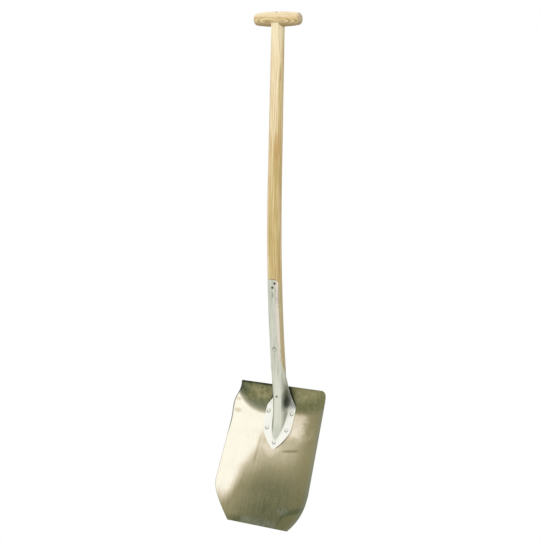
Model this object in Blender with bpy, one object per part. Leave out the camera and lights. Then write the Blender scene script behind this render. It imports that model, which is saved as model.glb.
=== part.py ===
"""Construction shovel: a T grip of ash on a bent ash shaft, held to a dished steel blade by two straps.

Metres, +Z up along the shaft, the blade's hollow side facing -Y. The origin is the middle of the
grip bar's underside, where the shovel hangs. Heights on the straps and the socket are measured up
or down from the top edge of the blade, because that is where the shaft meets it.
"""
import math

import bmesh
import bpy
from mathutils import Matrix, Vector

# Grip bar
GRIP_LENGTH = 0.1315
GRIP_DIAMETER = 0.039
GRIP_END_DIAMETER = 0.029
GRIP_END_ROUNDING = 0.006
GRIP_BARREL_POWER = 2.4

# Shaft: it leans forward from the grip, bends back, and curves forward again in the socket
SHAFT_TOP_DIAMETER = 0.0345
SHAFT_DIAMETER = 0.038
SHAFT_SWELL_LENGTH = 0.62
SHAFT_SHOULDER_RISE = 0.0128
STRAP_RECESS = 0.0019
STRAP_RECESS_RAMP = 0.010
SHAFT_LEAN = math.radians(2.3)
BEND_LENGTH = 0.50
BEND_END_HEIGHT = 0.0435
BEND_TURN = math.radians(9.5)
FOOT_DROP = 0.0115
FOOT_RADIUS = 0.345
FOOT_LENGTH = 0.108
TENON_DIAMETER = 0.024
TENON_ROOT = 0.020

# Wedge in the tenon, and the nail through bar and tenon
WEDGE_LENGTH = 0.022
WEDGE_TOP = 0.0035
WEDGE_FOOT = 0.0012
WEDGE_WIDTH = 0.0216
WEDGE_SURPLUS = 0.007
GRIP_NAIL_OFFSET = 0.006
GRIP_NAIL_LENGTH = 0.022

# Blade: sheet steel, measured along its flat middle
BLADE_TOP_DEPTH = 0.9415
BLADE_LENGTH = 0.3717
BLADE_WIDTH = 0.2805
BLADE_TOP_WIDTH = 0.262
BLADE_SHEET = 0.002
LIFT = math.radians(25.24)
EDGE_WIDTH = 0.1805
EDGE_CORNER_LENGTH = 0.0998
EDGE_CORNER_POWER = 1.82
TOP_CORNER_RADIUS = 0.0113
SIDE_RISE = 0.0225
SIDE_POWER = 2.035
SIDE_FADE = 0.0974
WALL_RISE = 0.0275
WALL_ANGLE = math.radians(44.0)
WALL_BEND = 0.006
SEAT_DEPTH = 0.0061

# Straps: tongues on the shaft, a socket over its foot and shields riveted to the blade
STRAP_SHEET = 0.002
TONGUE_LENGTH = 0.295
TONGUE_ROUNDING = 0.020
TONGUE_END_SHARE = 0.3
TONGUE_HALF_ANGLE = math.radians(57.0)
WRAP_START = 0.079
WRAP_END = 0.025
WRAP_REACH = 0.005
WRAP_BACK_SLOPE = 0.30
SOCKET_DRAFT = 0.10
FOLD = 0.001
WALL_LEAST = 0.0012
FLANGE_START = 0.0009
FLANGE_LEAST = 0.0006
SHIELD_OUTLINE = (
    (-0.079, 0.0200),
    (-0.025, 0.0208),
    (0.009, 0.0240),
    (0.036, 0.0295),
    (0.056, 0.0425),
    (0.068, 0.0440),
    (0.106, 0.0428),
    (0.121, 0.0395),
    (0.146, 0.0215),
    (0.1633, 0.0030),
)
BACK_FLATTEN_START = 0.075
BACK_FLATTEN_END = 0.012
BACK_NECK = 0.0105

# Rivets and nails
RIVET_SHANK = 0.0045
RIVET_HEAD = 0.0090
RIVET_HEAD_HEIGHT = 0.0024
UPPER_RIVETS = (0.0665, 0.0354)
LOWER_RIVETS = (0.1115, 0.0296)
TIP_RIVET = 0.148
STRAP_RIVET_HEIGHT = 0.107
STRAP_RIVET_TURN = math.radians(9.0)
NAIL_SHANK = 0.0028
NAIL_HEAD = 0.0065
NAIL_HEAD_HEIGHT = 0.0014
NAIL_LENGTH = 0.014
NAIL_TIP = 0.0003
UPPER_NAIL = (0.286, math.radians(27.0))
LOWER_NAIL = (0.275, math.radians(9.0))
SOCKET_NAIL_DEPTH = 0.022

# Clearance between pieces that touch, and how far a cutter runs past what it cuts
GAP = 0.0003
OVERRUN = 0.002

# Facets, and the columns of the socket: turns round its crown, then shares of its wall and flange
SHAFT_SIDES = 24
GRIP_SIDES = 28
FASTENER_SIDES = 12
HEAD_RINGS = 4
BLADE_COLUMNS = 20
BACK_STRAP_COLUMNS = 5
CROWN_TURNS = (0, 13, 26, 39, 52, 65, 78)
WALL_SHARES = (0.0, 0.6, 0.95)
FLANGE_SHARES = (0.08, 0.5, 1.0)
SHARP_ANGLE = math.radians(35)

WOOD_LIGHT = (0.80, 0.62, 0.36, 1.0)
WOOD_DARK = (0.55, 0.36, 0.17, 1.0)
BLADE_STEEL = (0.42, 0.40, 0.31, 1.0)
STRAP_STEEL = (0.62, 0.62, 0.55, 1.0)
RIVET_STEEL = (0.66, 0.66, 0.62, 1.0)

GRIP_AXIS_HEIGHT = GRIP_DIAMETER / 2
STRAPPED_RADIUS = SHAFT_DIAMETER / 2 - STRAP_RECESS
TOP_EDGE = -BLADE_TOP_DEPTH
BEND_START = BLADE_TOP_DEPTH - BEND_END_HEIGHT - BEND_LENGTH
FOOT_START = BLADE_TOP_DEPTH + FOOT_DROP
SHAFT_END = -(FOOT_START + FOOT_LENGTH)
UP_BLADE = Vector((0.0, math.sin(LIFT), math.cos(LIFT)))
OUT_OF_BLADE = Vector((0.0, -math.cos(LIFT), math.sin(LIFT)))


def soft_max(a, b, blend):
    """The larger of two values, with the corner between them rounded by the blend."""
    return max(a, b) + blend * math.log1p(math.exp(-abs(a - b) / blend))


def soft_min(a, b, blend):
    return -soft_max(-a, -b, blend)


def smooth_step(low, high, value):
    t = min(max((value - low) / (high - low), 0.0), 1.0)
    return t * t * (3 - 2 * t)


def spread(*stretches):
    """Values along stretches of (start, end, steps), each start being the last stretch's end."""
    values = [stretches[0][0]]
    for start, end, steps in stretches:
        values += [start + (end - start) * k / steps for k in range(1, steps + 1)]
    return values


# Shaft's line and thickness


def shaft_y(z):
    """Forward or back place of the shaft's centre line at a height."""
    depth = max(-z, 0.0)
    curve = (math.tan(BEND_TURN - SHAFT_LEAN) + math.tan(SHAFT_LEAN)) / BEND_LENGTH
    bent = min(max(depth - BEND_START, 0.0), BEND_LENGTH)
    past = max(depth - BEND_START - BEND_LENGTH, 0.0)
    foot = max(depth - FOOT_START, 0.0)
    y = -math.tan(SHAFT_LEAN) * depth + curve * bent**2 / 2 + curve * BEND_LENGTH * past
    return y - foot**2 / (2 * FOOT_RADIUS)


def shaft_radius(z):
    """Radius of the pole: it swells downward and is shaved under the straps, to seat them flush."""
    swell = smooth_step(0.0, SHAFT_SWELL_LENGTH, -z)
    strap_end = TOP_EDGE + TONGUE_LENGTH + GAP
    shaved = STRAP_RECESS * (1 - smooth_step(strap_end, strap_end + STRAP_RECESS_RAMP, z))
    return (SHAFT_TOP_DIAMETER + (SHAFT_DIAMETER - SHAFT_TOP_DIAMETER) * swell) / 2 - shaved


def shaft_slope(z):
    step = 0.002
    return (shaft_y(z + step) - shaft_y(z - step)) / (2 * step)


# Blade's surface


def blade_rise(u, v):
    """How far the blade's front stands forward of its flat, u across and v up from the edge."""
    sides = SIDE_RISE * smooth_step(0.0, SIDE_FADE, v) * abs(2 * u / BLADE_WIDTH) ** SIDE_POWER
    wall = WALL_RISE + (v - BLADE_LENGTH) * math.tan(WALL_ANGLE)
    return soft_max(sides, wall, WALL_BEND)


def blade_corner():
    """Middle of the cutting edge, from where the wall's top edge bears on the shaft's back."""
    top = Vector((0.0, shaft_y(TOP_EDGE) + STRAPPED_RADIUS - SEAT_DEPTH, TOP_EDGE))
    return top - UP_BLADE * BLADE_LENGTH - OUT_OF_BLADE * blade_rise(0.0, BLADE_LENGTH)


def blade_point(u, v):
    return blade_corner() + Vector((u, 0, 0)) + UP_BLADE * v + OUT_OF_BLADE * blade_rise(u, v)


def blade_normal(u, v):
    """Unit normal of the blade's front surface."""
    step = 0.001
    across = blade_point(u + step, v) - blade_point(u - step, v)
    up = blade_point(u, v + step) - blade_point(u, v - step)
    return across.cross(up).normalized()


def blade_place(x, z):
    """The v where the blade's front surface has a height z."""
    foot = blade_corner().z
    v = 0.0
    for _ in range(40):
        v = (z - foot - blade_rise(x, v) * math.sin(LIFT)) / math.cos(LIFT)
    return v


def blade_y(x, z, away):
    """Y on the blade's front surface, or the distance away in front of it (negative: behind)."""
    v = blade_place(x, z)
    return blade_point(x, v).y + away / blade_normal(x, v).y


def blade_half_width(v):
    """Half width of the blade's outline."""
    narrowing = (BLADE_WIDTH - BLADE_TOP_WIDTH) / 2
    side = BLADE_WIDTH / 2 - narrowing * (v - EDGE_CORNER_LENGTH) / (BLADE_LENGTH - EDGE_CORNER_LENGTH)
    if v < EDGE_CORNER_LENGTH:
        below = 1 - v / EDGE_CORNER_LENGTH
        return BLADE_WIDTH / 2 - (BLADE_WIDTH - EDGE_WIDTH) / 2 * below**EDGE_CORNER_POWER
    above = max(v - (BLADE_LENGTH - TOP_CORNER_RADIUS), 0.0)
    return side - TOP_CORNER_RADIUS + math.sqrt(max(TOP_CORNER_RADIUS**2 - above**2, 0.0))


def shield_half_width(height):
    """Half width of a strap's shield at a height over the blade's top edge (negative: below)."""
    drop = -height
    points = SHIELD_OUTLINE
    if drop <= points[0][0]:
        return points[0][1]
    for k in range(len(points) - 1):
        (x0, y0), (x1, y1) = points[k], points[k + 1]
        if drop > x1:
            continue
        before = points[max(k - 1, 0)]
        after = points[min(k + 2, len(points) - 1)]
        slope0 = (y1 - before[1]) / (x1 - before[0])
        slope1 = (after[1] - y0) / (after[0] - x0)
        length = x1 - x0
        t = (drop - x0) / length
        value = (2 * t**3 - 3 * t**2 + 1) * y0 + (3 * t**2 - 2 * t**3) * y1
        return value + (t**3 - 2 * t**2 + t) * length * slope0 + (t**3 - t**2) * length * slope1
    return points[-1][1]


# Objects


def material(name, colour, roughness, metallic):
    made = bpy.data.materials.new(name)
    made.use_nodes = True
    shader = made.node_tree.nodes["Principled BSDF"]
    shader.inputs["Base Color"].default_value = colour
    shader.inputs["Roughness"].default_value = roughness
    shader.inputs["Metallic"].default_value = metallic
    return made


def link(name, mesh, look):
    obj = bpy.data.objects.new(name, mesh)
    bpy.context.scene.collection.objects.link(obj)
    if look is not None:
        mesh.materials.append(look)
    return obj


def mesh_from(name, bm):
    bmesh.ops.recalc_face_normals(bm, faces=bm.faces)
    mesh = bpy.data.meshes.new(name)
    bm.to_mesh(mesh)
    bm.free()
    mesh.shade_smooth()
    mesh.set_sharp_from_angle(angle=SHARP_ANGLE)
    return mesh


def rings_mesh(name, rings):
    """Closed body through rings of points, with a flat cap at each end."""
    bm = bmesh.new()
    loops = [[bm.verts.new(point) for point in ring] for ring in rings]
    count = len(loops[0])
    for low, high in zip(loops, loops[1:]):
        for k in range(count):
            after = (k + 1) % count
            bm.faces.new((low[k], low[after], high[after], high[k]))
    bm.faces.new(loops[0])
    bm.faces.new(loops[-1])
    return mesh_from(name, bm)


def turned_mesh(name, profile, sides):
    """Body turned about local Z from (radius, height) points, closed by a flat at each end."""
    rings = []
    for radius, height in profile:
        turns = [2 * math.pi * (k + 0.5) / sides for k in range(sides)]
        rings.append([(radius * math.cos(a), radius * math.sin(a), height) for a in turns])
    return rings_mesh(name, rings)


def sheet_object(name, grid, thickness, grows, look):
    """Sheet metal from a grid of points, thickened along its normals (grows +1) or against them."""
    bm = bmesh.new()
    rows = [[bm.verts.new(point) for point in row] for row in grid]
    for low, high in zip(rows, rows[1:]):
        for k in range(len(low) - 1):
            bm.faces.new((low[k], low[k + 1], high[k + 1], high[k]))
    mesh = bpy.data.meshes.new(name)
    bm.to_mesh(mesh)
    bm.free()
    mesh.shade_smooth()
    obj = link(name, mesh, look)
    solid = obj.modifiers.new("sheet", "SOLIDIFY")
    solid.thickness = thickness
    solid.offset = grows
    solid.use_even_offset = True
    return obj


def as_cutter(obj):
    obj.hide_render = True
    obj.display_type = "WIRE"
    return obj


def apply_boolean(obj, other, operation):
    modifier = obj.modifiers.new(other.name, "BOOLEAN")
    modifier.operation = operation
    modifier.object = other


def placed(obj, origin, outward):
    """Puts an object's local Z along a direction, at a place."""
    turn = outward.to_track_quat("Z", "Y").to_matrix().to_4x4()
    obj.matrix_world = Matrix.Translation(origin) @ turn
    return obj


# Grip


def grip_radius(x):
    """Radius of the turned bar at a distance from its middle."""
    half = GRIP_LENGTH / 2
    thinning = (GRIP_DIAMETER - GRIP_END_DIAMETER) / 2 * (abs(x) / half) ** GRIP_BARREL_POWER
    radius = GRIP_DIAMETER / 2 - thinning
    past = max(abs(x) - (half - GRIP_END_ROUNDING), 0.0)
    return radius - GRIP_END_ROUNDING + math.sqrt(max(GRIP_END_ROUNDING**2 - past**2, 0.0))


def bar_envelope(name, radius):
    """Cylinder along the bar's axis, to shape what meets the bar."""
    half = GRIP_LENGTH / 4
    mesh = turned_mesh(name, [(radius, -half), (radius, half)], GRIP_SIDES * 2)
    obj = as_cutter(link(name, mesh, None))
    return placed(obj, Vector((0, 0, GRIP_AXIS_HEIGHT)), Vector((1, 0, 0)))


def make_grip(wood):
    half = GRIP_LENGTH / 2
    steps = spread((0.0, half - GRIP_END_ROUNDING, 6))
    rounding = [half - GRIP_END_ROUNDING * (1 - math.sin(k * math.pi / 8)) for k in range(1, 5)]
    right = steps + rounding
    stations = [-x for x in reversed(right[1:])] + right
    mesh = turned_mesh("grip", [(grip_radius(x), x) for x in stations], GRIP_SIDES)
    grip = placed(link("grip", mesh, wood), Vector((0, 0, GRIP_AXIS_HEIGHT)), Vector((1, 0, 0)))
    bore_radius = TENON_DIAMETER / 2 + GAP
    reach = GRIP_DIAMETER
    bore = turned_mesh("tenon_bore", [(bore_radius, -reach), (bore_radius, 2 * reach)], SHAFT_SIDES)
    apply_boolean(grip, as_cutter(link("tenon_bore", bore, None)), "DIFFERENCE")
    return grip


def wedge_prism(name, look, clearance, width):
    """Tapered wedge across the tenon, standing proud of the bar until it is dressed off."""
    top = GRIP_DIAMETER + WEDGE_SURPLUS
    foot = GRIP_DIAMETER - WEDGE_LENGTH - clearance
    grow = (WEDGE_TOP - WEDGE_FOOT) / WEDGE_LENGTH
    half_foot = WEDGE_FOOT / 2 + clearance
    half_top = half_foot + grow * (top - foot) / 2
    ring = ((-1, -1), (1, -1), (1, 1), (-1, 1))
    low = [(a * half_foot, b * width / 2, foot) for a, b in ring]
    high = [(a * half_top, b * width / 2, top) for a, b in ring]
    return link(name, rings_mesh(name, [low, high]), look)


def make_wedge(wood):
    wedge = wedge_prism("grip_wedge", wood, 0.0, WEDGE_WIDTH)
    apply_boolean(wedge, bar_envelope("wedge_dressing", GRIP_DIAMETER / 2 - GAP), "INTERSECT")
    return wedge


# Shaft


def shaft_ring(z, seated):
    """Points round the shaft at a height: an arc in front, and behind it an arc or the blade."""
    radius = shaft_radius(z)
    centre = shaft_y(z)
    half_turn = math.pi / 2
    if seated:
        for _ in range(4):
            seat = blade_y(radius * math.sin(half_turn), z, GAP)
            half_turn = math.acos(min(max((centre - seat) / radius, 0.0), 1.0))
    steps = SHAFT_SIDES // 2
    ring = []
    for k in range(steps + 1):
        turn = half_turn * (2 * k / steps - 1)
        ring.append((radius * math.sin(turn), centre - radius * math.cos(turn), z))
    for k in range(1, steps):
        x = radius * math.sin(half_turn) * math.cos(math.pi * k / steps)
        y = centre + math.sqrt(radius**2 - x**2)
        if seated:
            y = min(y, blade_y(x, z, GAP))
        ring.append((x, y, z))
    return ring


def tenon_rings():
    """Round tenon from inside the shaft to the bar's top, where it is dressed to the bar's curve."""
    dressed = GRIP_DIAMETER / 2 - GAP
    turns = [2 * math.pi * (k + 0.5) / SHAFT_SIDES for k in range(SHAFT_SIDES)]
    foot = TENON_DIAMETER / 2
    rings = [[(foot * math.cos(a), foot * math.sin(a), -TENON_ROOT) for a in turns]]
    for share in (1.0, 0.7, 0.4, 0.1):
        radius = TENON_DIAMETER / 2 * share
        ring = []
        for a in turns:
            y = radius * math.sin(a)
            ring.append((radius * math.cos(a), y, GRIP_AXIS_HEIGHT + math.sqrt(dressed**2 - y**2)))
        rings.append(ring)
    return rings


def make_shaft(wood):
    bend_end = -(BEND_START + BEND_LENGTH)
    shaved = TOP_EDGE + TONGUE_LENGTH + GAP
    ramp = shaved + STRAP_RECESS_RAMP
    ledge = TOP_EDGE + 2 * GAP
    free = spread((SHAFT_SHOULDER_RISE, 0.0, 1), (0.0, -BEND_START, 4), (-BEND_START, ramp, 5))
    free += spread((ramp, shaved, 3), (shaved, bend_end, 7))[1:] + [ledge + GAP]
    foot_middle = -FOOT_START - FOOT_LENGTH / 3
    seated = spread((ledge, foot_middle, 7), (foot_middle, SHAFT_END, 6))
    rings = [shaft_ring(z, False) for z in free] + [shaft_ring(z, True) for z in seated]
    shaft = link("shaft", rings_mesh("shaft", rings), wood)
    apply_boolean(shaft, bar_envelope("saddle", GRIP_DIAMETER / 2 + GAP), "DIFFERENCE")
    tenon = as_cutter(link("tenon", rings_mesh("tenon", tenon_rings()), None))
    apply_boolean(shaft, tenon, "UNION")
    slot = as_cutter(wedge_prism("wedge_slot", None, GAP, TENON_DIAMETER + 2 * OVERRUN))
    apply_boolean(shaft, slot, "DIFFERENCE")
    return shaft


# Blade


def make_blade(steel):
    wall_foot = BLADE_LENGTH - 3 * WALL_RISE / math.tan(WALL_ANGLE)
    corner = BLADE_LENGTH - TOP_CORNER_RADIUS
    rows = spread((0.0, EDGE_CORNER_LENGTH, 7), (EDGE_CORNER_LENGTH, wall_foot, 5), (wall_foot, corner, 12))
    rows += [corner + TOP_CORNER_RADIUS * math.sin(k * math.pi / 8) for k in range(1, 5)]
    grid = []
    for v in rows:
        half = blade_half_width(v)
        columns = [half * (2 * k / BLADE_COLUMNS - 1) for k in range(BLADE_COLUMNS + 1)]
        grid.append([blade_point(u, v) for u in columns])
    return sheet_object("blade", grid, BLADE_SHEET, -1, steel)


# Straps


def tongue_half_angle(height):
    """How far round the shaft a strap's tongue reaches: less at its rounded end."""
    from_end = TONGUE_LENGTH - height
    if from_end >= TONGUE_ROUNDING:
        return TONGUE_HALF_ANGLE
    left = 1 - max(from_end, 0.0) / TONGUE_ROUNDING
    return TONGUE_HALF_ANGLE * max(math.sqrt(1 - left**2), TONGUE_END_SHARE)


def socket_back(x, height):
    """Y of the socket's seat: on the blade's front, and drawn forward to the shaft above it."""
    z = TOP_EDGE + height
    wrap = shaft_y(TOP_EDGE + WRAP_END) + WRAP_REACH + WRAP_BACK_SLOPE * (WRAP_END - height)
    return soft_min(blade_y(x, z, GAP), wrap, 2 * FOLD)


def socket_surface(x, height):
    """Y of the socket's inner face: a tube round the shaft's foot that folds out on to the seat."""
    radius = STRAPPED_RADIUS + GAP
    centre = shaft_y(TOP_EDGE + height)
    beyond = max(x - radius, 0.0)
    tube = centre - math.sqrt(max(radius**2 - min(x, radius) ** 2, 0.0)) + beyond / SOCKET_DRAFT
    return soft_min(tube, socket_back(x, height), FOLD)


def socket_columns(height):
    """Distances from the middle of the socket's columns at a height, out to the shield's edge."""
    radius = STRAPPED_RADIUS + GAP
    edge = shield_half_width(height)
    depth = max(socket_back(radius, height) - shaft_y(TOP_EDGE + height), 0.0)
    draft = depth * SOCKET_DRAFT + WALL_LEAST
    crown = [radius * math.sin(math.radians(turn)) for turn in CROWN_TURNS]
    wall = [radius + draft * share for share in WALL_SHARES]
    foot = wall[-1] + FLANGE_START
    flange = [foot + max(edge - foot, FLANGE_LEAST) * share for share in FLANGE_SHARES]
    columns = crown + wall + flange
    shrink = min(edge / columns[-1], 1.0)
    return [x * shrink for x in columns]


def polar(x, y, centre):
    return math.atan2(x, centre - y), math.hypot(x, centre - y)


def front_strap_row(height):
    """Inner face of the front strap at a height: tongue, wrap and socket are one sheet."""
    z = TOP_EDGE + height
    centre = shaft_y(z)
    radius = shaft_radius(z) + GAP
    wrapped = smooth_step(0.0, 1.0, (WRAP_START - height) / (WRAP_START - WRAP_END))
    columns = socket_columns(min(height, WRAP_START))
    last = len(columns) - 1
    half = []
    for k, x in enumerate(columns):
        turn, reach = tongue_half_angle(height) * k / last, radius
        if height < WRAP_START:
            socket_turn, socket_reach = polar(x, socket_surface(x, height), centre)
            turn += (socket_turn - turn) * wrapped
            reach += (socket_reach - reach) * wrapped
        half.append((reach * math.sin(turn), centre - reach * math.cos(turn), z))
    return half[:0:-1] + [(-x, y, z) for x, y, z in half]


def make_front_strap(steel):
    tip = -SHIELD_OUTLINE[-1][0]
    shoulder = -SHIELD_OUTLINE[5][0]
    rounded = TONGUE_LENGTH - TONGUE_ROUNDING
    heights = spread(
        (TONGUE_LENGTH, rounded, 5),
        (rounded, WRAP_START, 5),
        (WRAP_START, WRAP_END, 6),
        (WRAP_END, shoulder, 8),
        (shoulder, tip, 11),
    )
    grid = [front_strap_row(height) for height in heights]
    return sheet_object("front_strap", grid, STRAP_SHEET, 1, steel)


def back_line(x, height):
    """Y of the back strap's inner face where it is flat: behind the shaft, then behind the blade."""
    z = TOP_EDGE + height
    behind_blade = blade_y(x, z, -BLADE_SHEET - GAP)
    shaft_back = shaft_y(max(z, TOP_EDGE)) + STRAPPED_RADIUS + GAP + min(height, 0.0)
    return soft_max(behind_blade, shaft_back, FOLD)


def back_strap_row(height):
    z = TOP_EDGE + height
    centre = shaft_y(z)
    radius = shaft_radius(z) + GAP
    flat = 1 - smooth_step(BACK_FLATTEN_END, BACK_FLATTEN_START, height)
    shield = smooth_step(0.0, UPPER_RIVETS[0], -height)
    half_width = BACK_NECK + (shield_half_width(height) - BACK_NECK) * shield
    half = []
    for k in range(BACK_STRAP_COLUMNS + 1):
        turn = tongue_half_angle(height) * k / BACK_STRAP_COLUMNS
        x = radius * math.sin(turn)
        y = centre + radius * math.cos(turn)
        if flat > 0:
            flat_x = half_width * k / BACK_STRAP_COLUMNS
            x += (flat_x - x) * flat
            y += (back_line(flat_x, height) - y) * flat
        half.append((x, y, z))
    return [(-x, y, z) for x, y, z in half[:0:-1]] + half


def make_back_strap(steel):
    tip = -SHIELD_OUTLINE[-1][0]
    rounded = TONGUE_LENGTH - TONGUE_ROUNDING
    heights = spread(
        (TONGUE_LENGTH, rounded, 5),
        (rounded, BACK_FLATTEN_START, 5),
        (BACK_FLATTEN_START, BACK_FLATTEN_END, 6),
        (BACK_FLATTEN_END, -UPPER_RIVETS[0], 13),
        (-UPPER_RIVETS[0], tip, 7),
    )
    grid = [back_strap_row(height) for height in heights]
    return sheet_object("back_strap", grid, STRAP_SHEET, 1, steel)


# Rivets and nails


def dome(radius, height, base, direction):
    """Profile of a domed head from its rim to its flat crown."""
    turns = [k * math.pi / 2 / HEAD_RINGS for k in range(HEAD_RINGS)]
    return [(radius * math.cos(a), base + direction * height * math.sin(a)) for a in turns]


def fastener(name, seat, outward, shank, head, head_height, length, tail_head, look):
    """Rivet or nail whose head sits on a seat; its shank runs in, to a point or a second head."""
    front = dome(head / 2, head_height, GAP, 1)
    profile = list(reversed(front)) + [(shank / 2, GAP), (shank / 2, -length)]
    if tail_head:
        profile += dome(head / 2, head_height, -length, -1)
    else:
        profile.append((NAIL_TIP, -length - shank))
    mesh = turned_mesh(name, profile, FASTENER_SIDES)
    return placed(link(name, mesh, look), seat, outward)


def cut_hole(name, seat, outward, shank, length, pieces):
    """Hole for a shank, through each of the pieces that it passes."""
    radius = shank / 2 + GAP
    profile = [(radius, -length), (radius, OVERRUN)]
    hole = as_cutter(link(name + "_hole", turned_mesh(name + "_hole", profile, FASTENER_SIDES), None))
    placed(hole, seat, outward)
    for piece in pieces:
        apply_boolean(piece, hole, "DIFFERENCE")


def make_flange_rivets(steel, plates):
    """Five rivets through the front shield, the blade and the back shield."""
    places = {}
    for level, (drop, side) in (("upper", UPPER_RIVETS), ("lower", LOWER_RIVETS)):
        places["flange_rivet_" + level + "_left"] = (-side, drop)
        places["flange_rivet_" + level + "_right"] = (side, drop)
    places["flange_rivet_tip"] = (0.0, TIP_RIVET)
    stack = BLADE_SHEET + 2 * STRAP_SHEET + 4 * GAP
    for name, (u, drop) in places.items():
        v = BLADE_LENGTH - drop
        outward = blade_normal(u, v)
        seat = blade_point(u, v) + outward * (STRAP_SHEET + GAP)
        fastener(name, seat, outward, RIVET_SHANK, RIVET_HEAD, RIVET_HEAD_HEIGHT, stack, True, steel)
        cut_hole(name, seat, outward, RIVET_SHANK, stack + GAP, plates)


def radial_seat(height, turn, facing):
    """Place and outward direction on a strap's outer face: facing -1 is the front, +1 the back."""
    z = TOP_EDGE + height
    slope = shaft_slope(z)
    sideways = Vector((math.sin(turn), 0, 0))
    level = Vector((0, facing, -facing * slope)).normalized() * math.cos(turn)
    outward = (sideways + level).normalized()
    reach = shaft_radius(z) + GAP + STRAP_SHEET
    return Vector((0, shaft_y(z), z)) + outward * reach, outward


def make_strap_rivet(steel, pieces):
    seat, outward = radial_seat(STRAP_RIVET_HEIGHT, STRAP_RIVET_TURN, -1)
    reach = shaft_radius(TOP_EDGE + STRAP_RIVET_HEIGHT) + GAP + STRAP_SHEET
    length = 2 * reach + GAP
    fastener("strap_rivet", seat, outward, RIVET_SHANK, RIVET_HEAD, RIVET_HEAD_HEIGHT, length, True, steel)
    cut_hole("strap_rivet", seat, outward, RIVET_SHANK, length + GAP, pieces)


def make_nail(name, seat, outward, length, steel, pieces):
    fastener(name, seat, outward, NAIL_SHANK, NAIL_HEAD, NAIL_HEAD_HEIGHT, length, False, steel)
    cut_hole(name, seat, outward, NAIL_SHANK, length + NAIL_SHANK + GAP, pieces)


def make_nails(steel, shaft, grip, front_strap, back_strap):
    for facing, side, strap in ((-1, "front", front_strap), (1, "back", back_strap)):
        for level, (height, turn) in (("upper", UPPER_NAIL), ("lower", LOWER_NAIL)):
            seat, outward = radial_seat(height, turn, facing)
            make_nail(side + "_nail_" + level, seat, outward, NAIL_LENGTH, steel, (strap, shaft))
    seat, outward = radial_seat(-SOCKET_NAIL_DEPTH, 0.0, -1)
    make_nail("socket_nail", seat, outward, NAIL_LENGTH, steel, (front_strap, shaft))
    drop = GRIP_AXIS_HEIGHT
    seat = Vector((GRIP_NAIL_OFFSET, grip_radius(GRIP_NAIL_OFFSET), drop))
    make_nail("grip_nail", seat, Vector((0, 1, 0)), GRIP_NAIL_LENGTH, steel, (grip, shaft))


def main():
    for obj in list(bpy.data.objects):
        bpy.data.objects.remove(obj, do_unlink=True)
    ash = material("ash", WOOD_LIGHT, 0.6, 0.0)
    hardwood = material("hardwood", WOOD_DARK, 0.65, 0.0)
    blade_steel = material("blade_steel", BLADE_STEEL, 0.3, 1.0)
    strap_steel = material("strap_steel", STRAP_STEEL, 0.55, 0.8)
    rivet_steel = material("rivet_steel", RIVET_STEEL, 0.4, 1.0)
    grip = make_grip(ash)
    make_wedge(hardwood)
    shaft = make_shaft(ash)
    blade = make_blade(blade_steel)
    front_strap = make_front_strap(strap_steel)
    back_strap = make_back_strap(strap_steel)
    make_flange_rivets(rivet_steel, (front_strap, blade, back_strap))
    make_strap_rivet(rivet_steel, (front_strap, shaft, back_strap))
    make_nails(rivet_steel, shaft, grip, front_strap, back_strap)


main()
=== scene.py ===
"""Construction shovel: its finished pieces, their surfaces and the stage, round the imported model.

Metres, +Z up the shaft, the blade's hollow side facing -Y, the origin under the middle of the grip
bar. Heights on the straps are measured from the blade's top edge, where the shaft meets it.
"""
import math

import bpy
from mathutils import Matrix, Vector


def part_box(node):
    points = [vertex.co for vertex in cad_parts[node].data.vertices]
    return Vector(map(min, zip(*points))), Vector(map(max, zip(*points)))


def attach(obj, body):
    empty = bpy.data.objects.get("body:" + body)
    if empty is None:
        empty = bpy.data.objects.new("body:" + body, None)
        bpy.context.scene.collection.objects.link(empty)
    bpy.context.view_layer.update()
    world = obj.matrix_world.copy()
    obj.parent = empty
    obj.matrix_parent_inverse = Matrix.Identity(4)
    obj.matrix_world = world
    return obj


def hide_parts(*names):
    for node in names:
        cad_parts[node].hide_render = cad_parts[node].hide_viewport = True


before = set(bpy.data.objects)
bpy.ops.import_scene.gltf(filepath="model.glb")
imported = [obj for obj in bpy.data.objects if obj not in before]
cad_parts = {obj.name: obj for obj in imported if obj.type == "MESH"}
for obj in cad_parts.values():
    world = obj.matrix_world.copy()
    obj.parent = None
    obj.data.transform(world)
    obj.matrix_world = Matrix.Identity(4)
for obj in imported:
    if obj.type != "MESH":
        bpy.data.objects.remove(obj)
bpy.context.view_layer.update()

bl_info = {
    "name": "Construction shovel",
    "version": (1, 0, 0),
    "blender": (4, 5, 0),
    "location": "3D View > Sidebar > Shovel",
    "description": "Ash shaft and T grip, dished steel blade, riveted straps and the stage",
    "category": "Add Mesh",
}

GRIP_LOW, GRIP_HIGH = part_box("grip")

# How the pieces seat on each other
GAP = 0.0003
TENON_DIAMETER = 0.024
TENON_ROOT = 0.020
WEDGE_LENGTH = 0.022
WEDGE_TOP = 0.0035
WEDGE_FOOT = 0.0012
WEDGE_WIDTH = 0.0216
WEDGE_SURPLUS = 0.007
WEDGE_SLOT_SURPLUS = 0.004
SHAFT_SHOULDER_RISE = 0.0128
SHOULDER_FLAT_TURN = math.radians(30.0)
SHOULDER_FLAT_START = -0.040
SHOULDER_FLAT_END = -0.010
STRAP_RECESS = 0.0019
STRAP_RECESS_RAMP = 0.0012
GROOVE_START = math.radians(1.0)
GROOVE_END = math.radians(6.0)
BEND_END_HEIGHT = 0.0435
FOOT_DROP = 0.0115
FOOT_LENGTH = 0.108
SEAT_DEPTH = 0.0061
SEAT_HALF_WIDTH = 0.030
SEAT_BLOCK_DEPTH = 0.080

# Blade's corners and folds
GRIP_BARREL_POWER = 2.4
EDGE_CORNER_POWER = 1.82
TOP_CORNER_RADIUS = 0.0113
SIDE_POWER = 2.035
SIDE_FADE = 0.0974
WALL_BEND = 0.006

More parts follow.
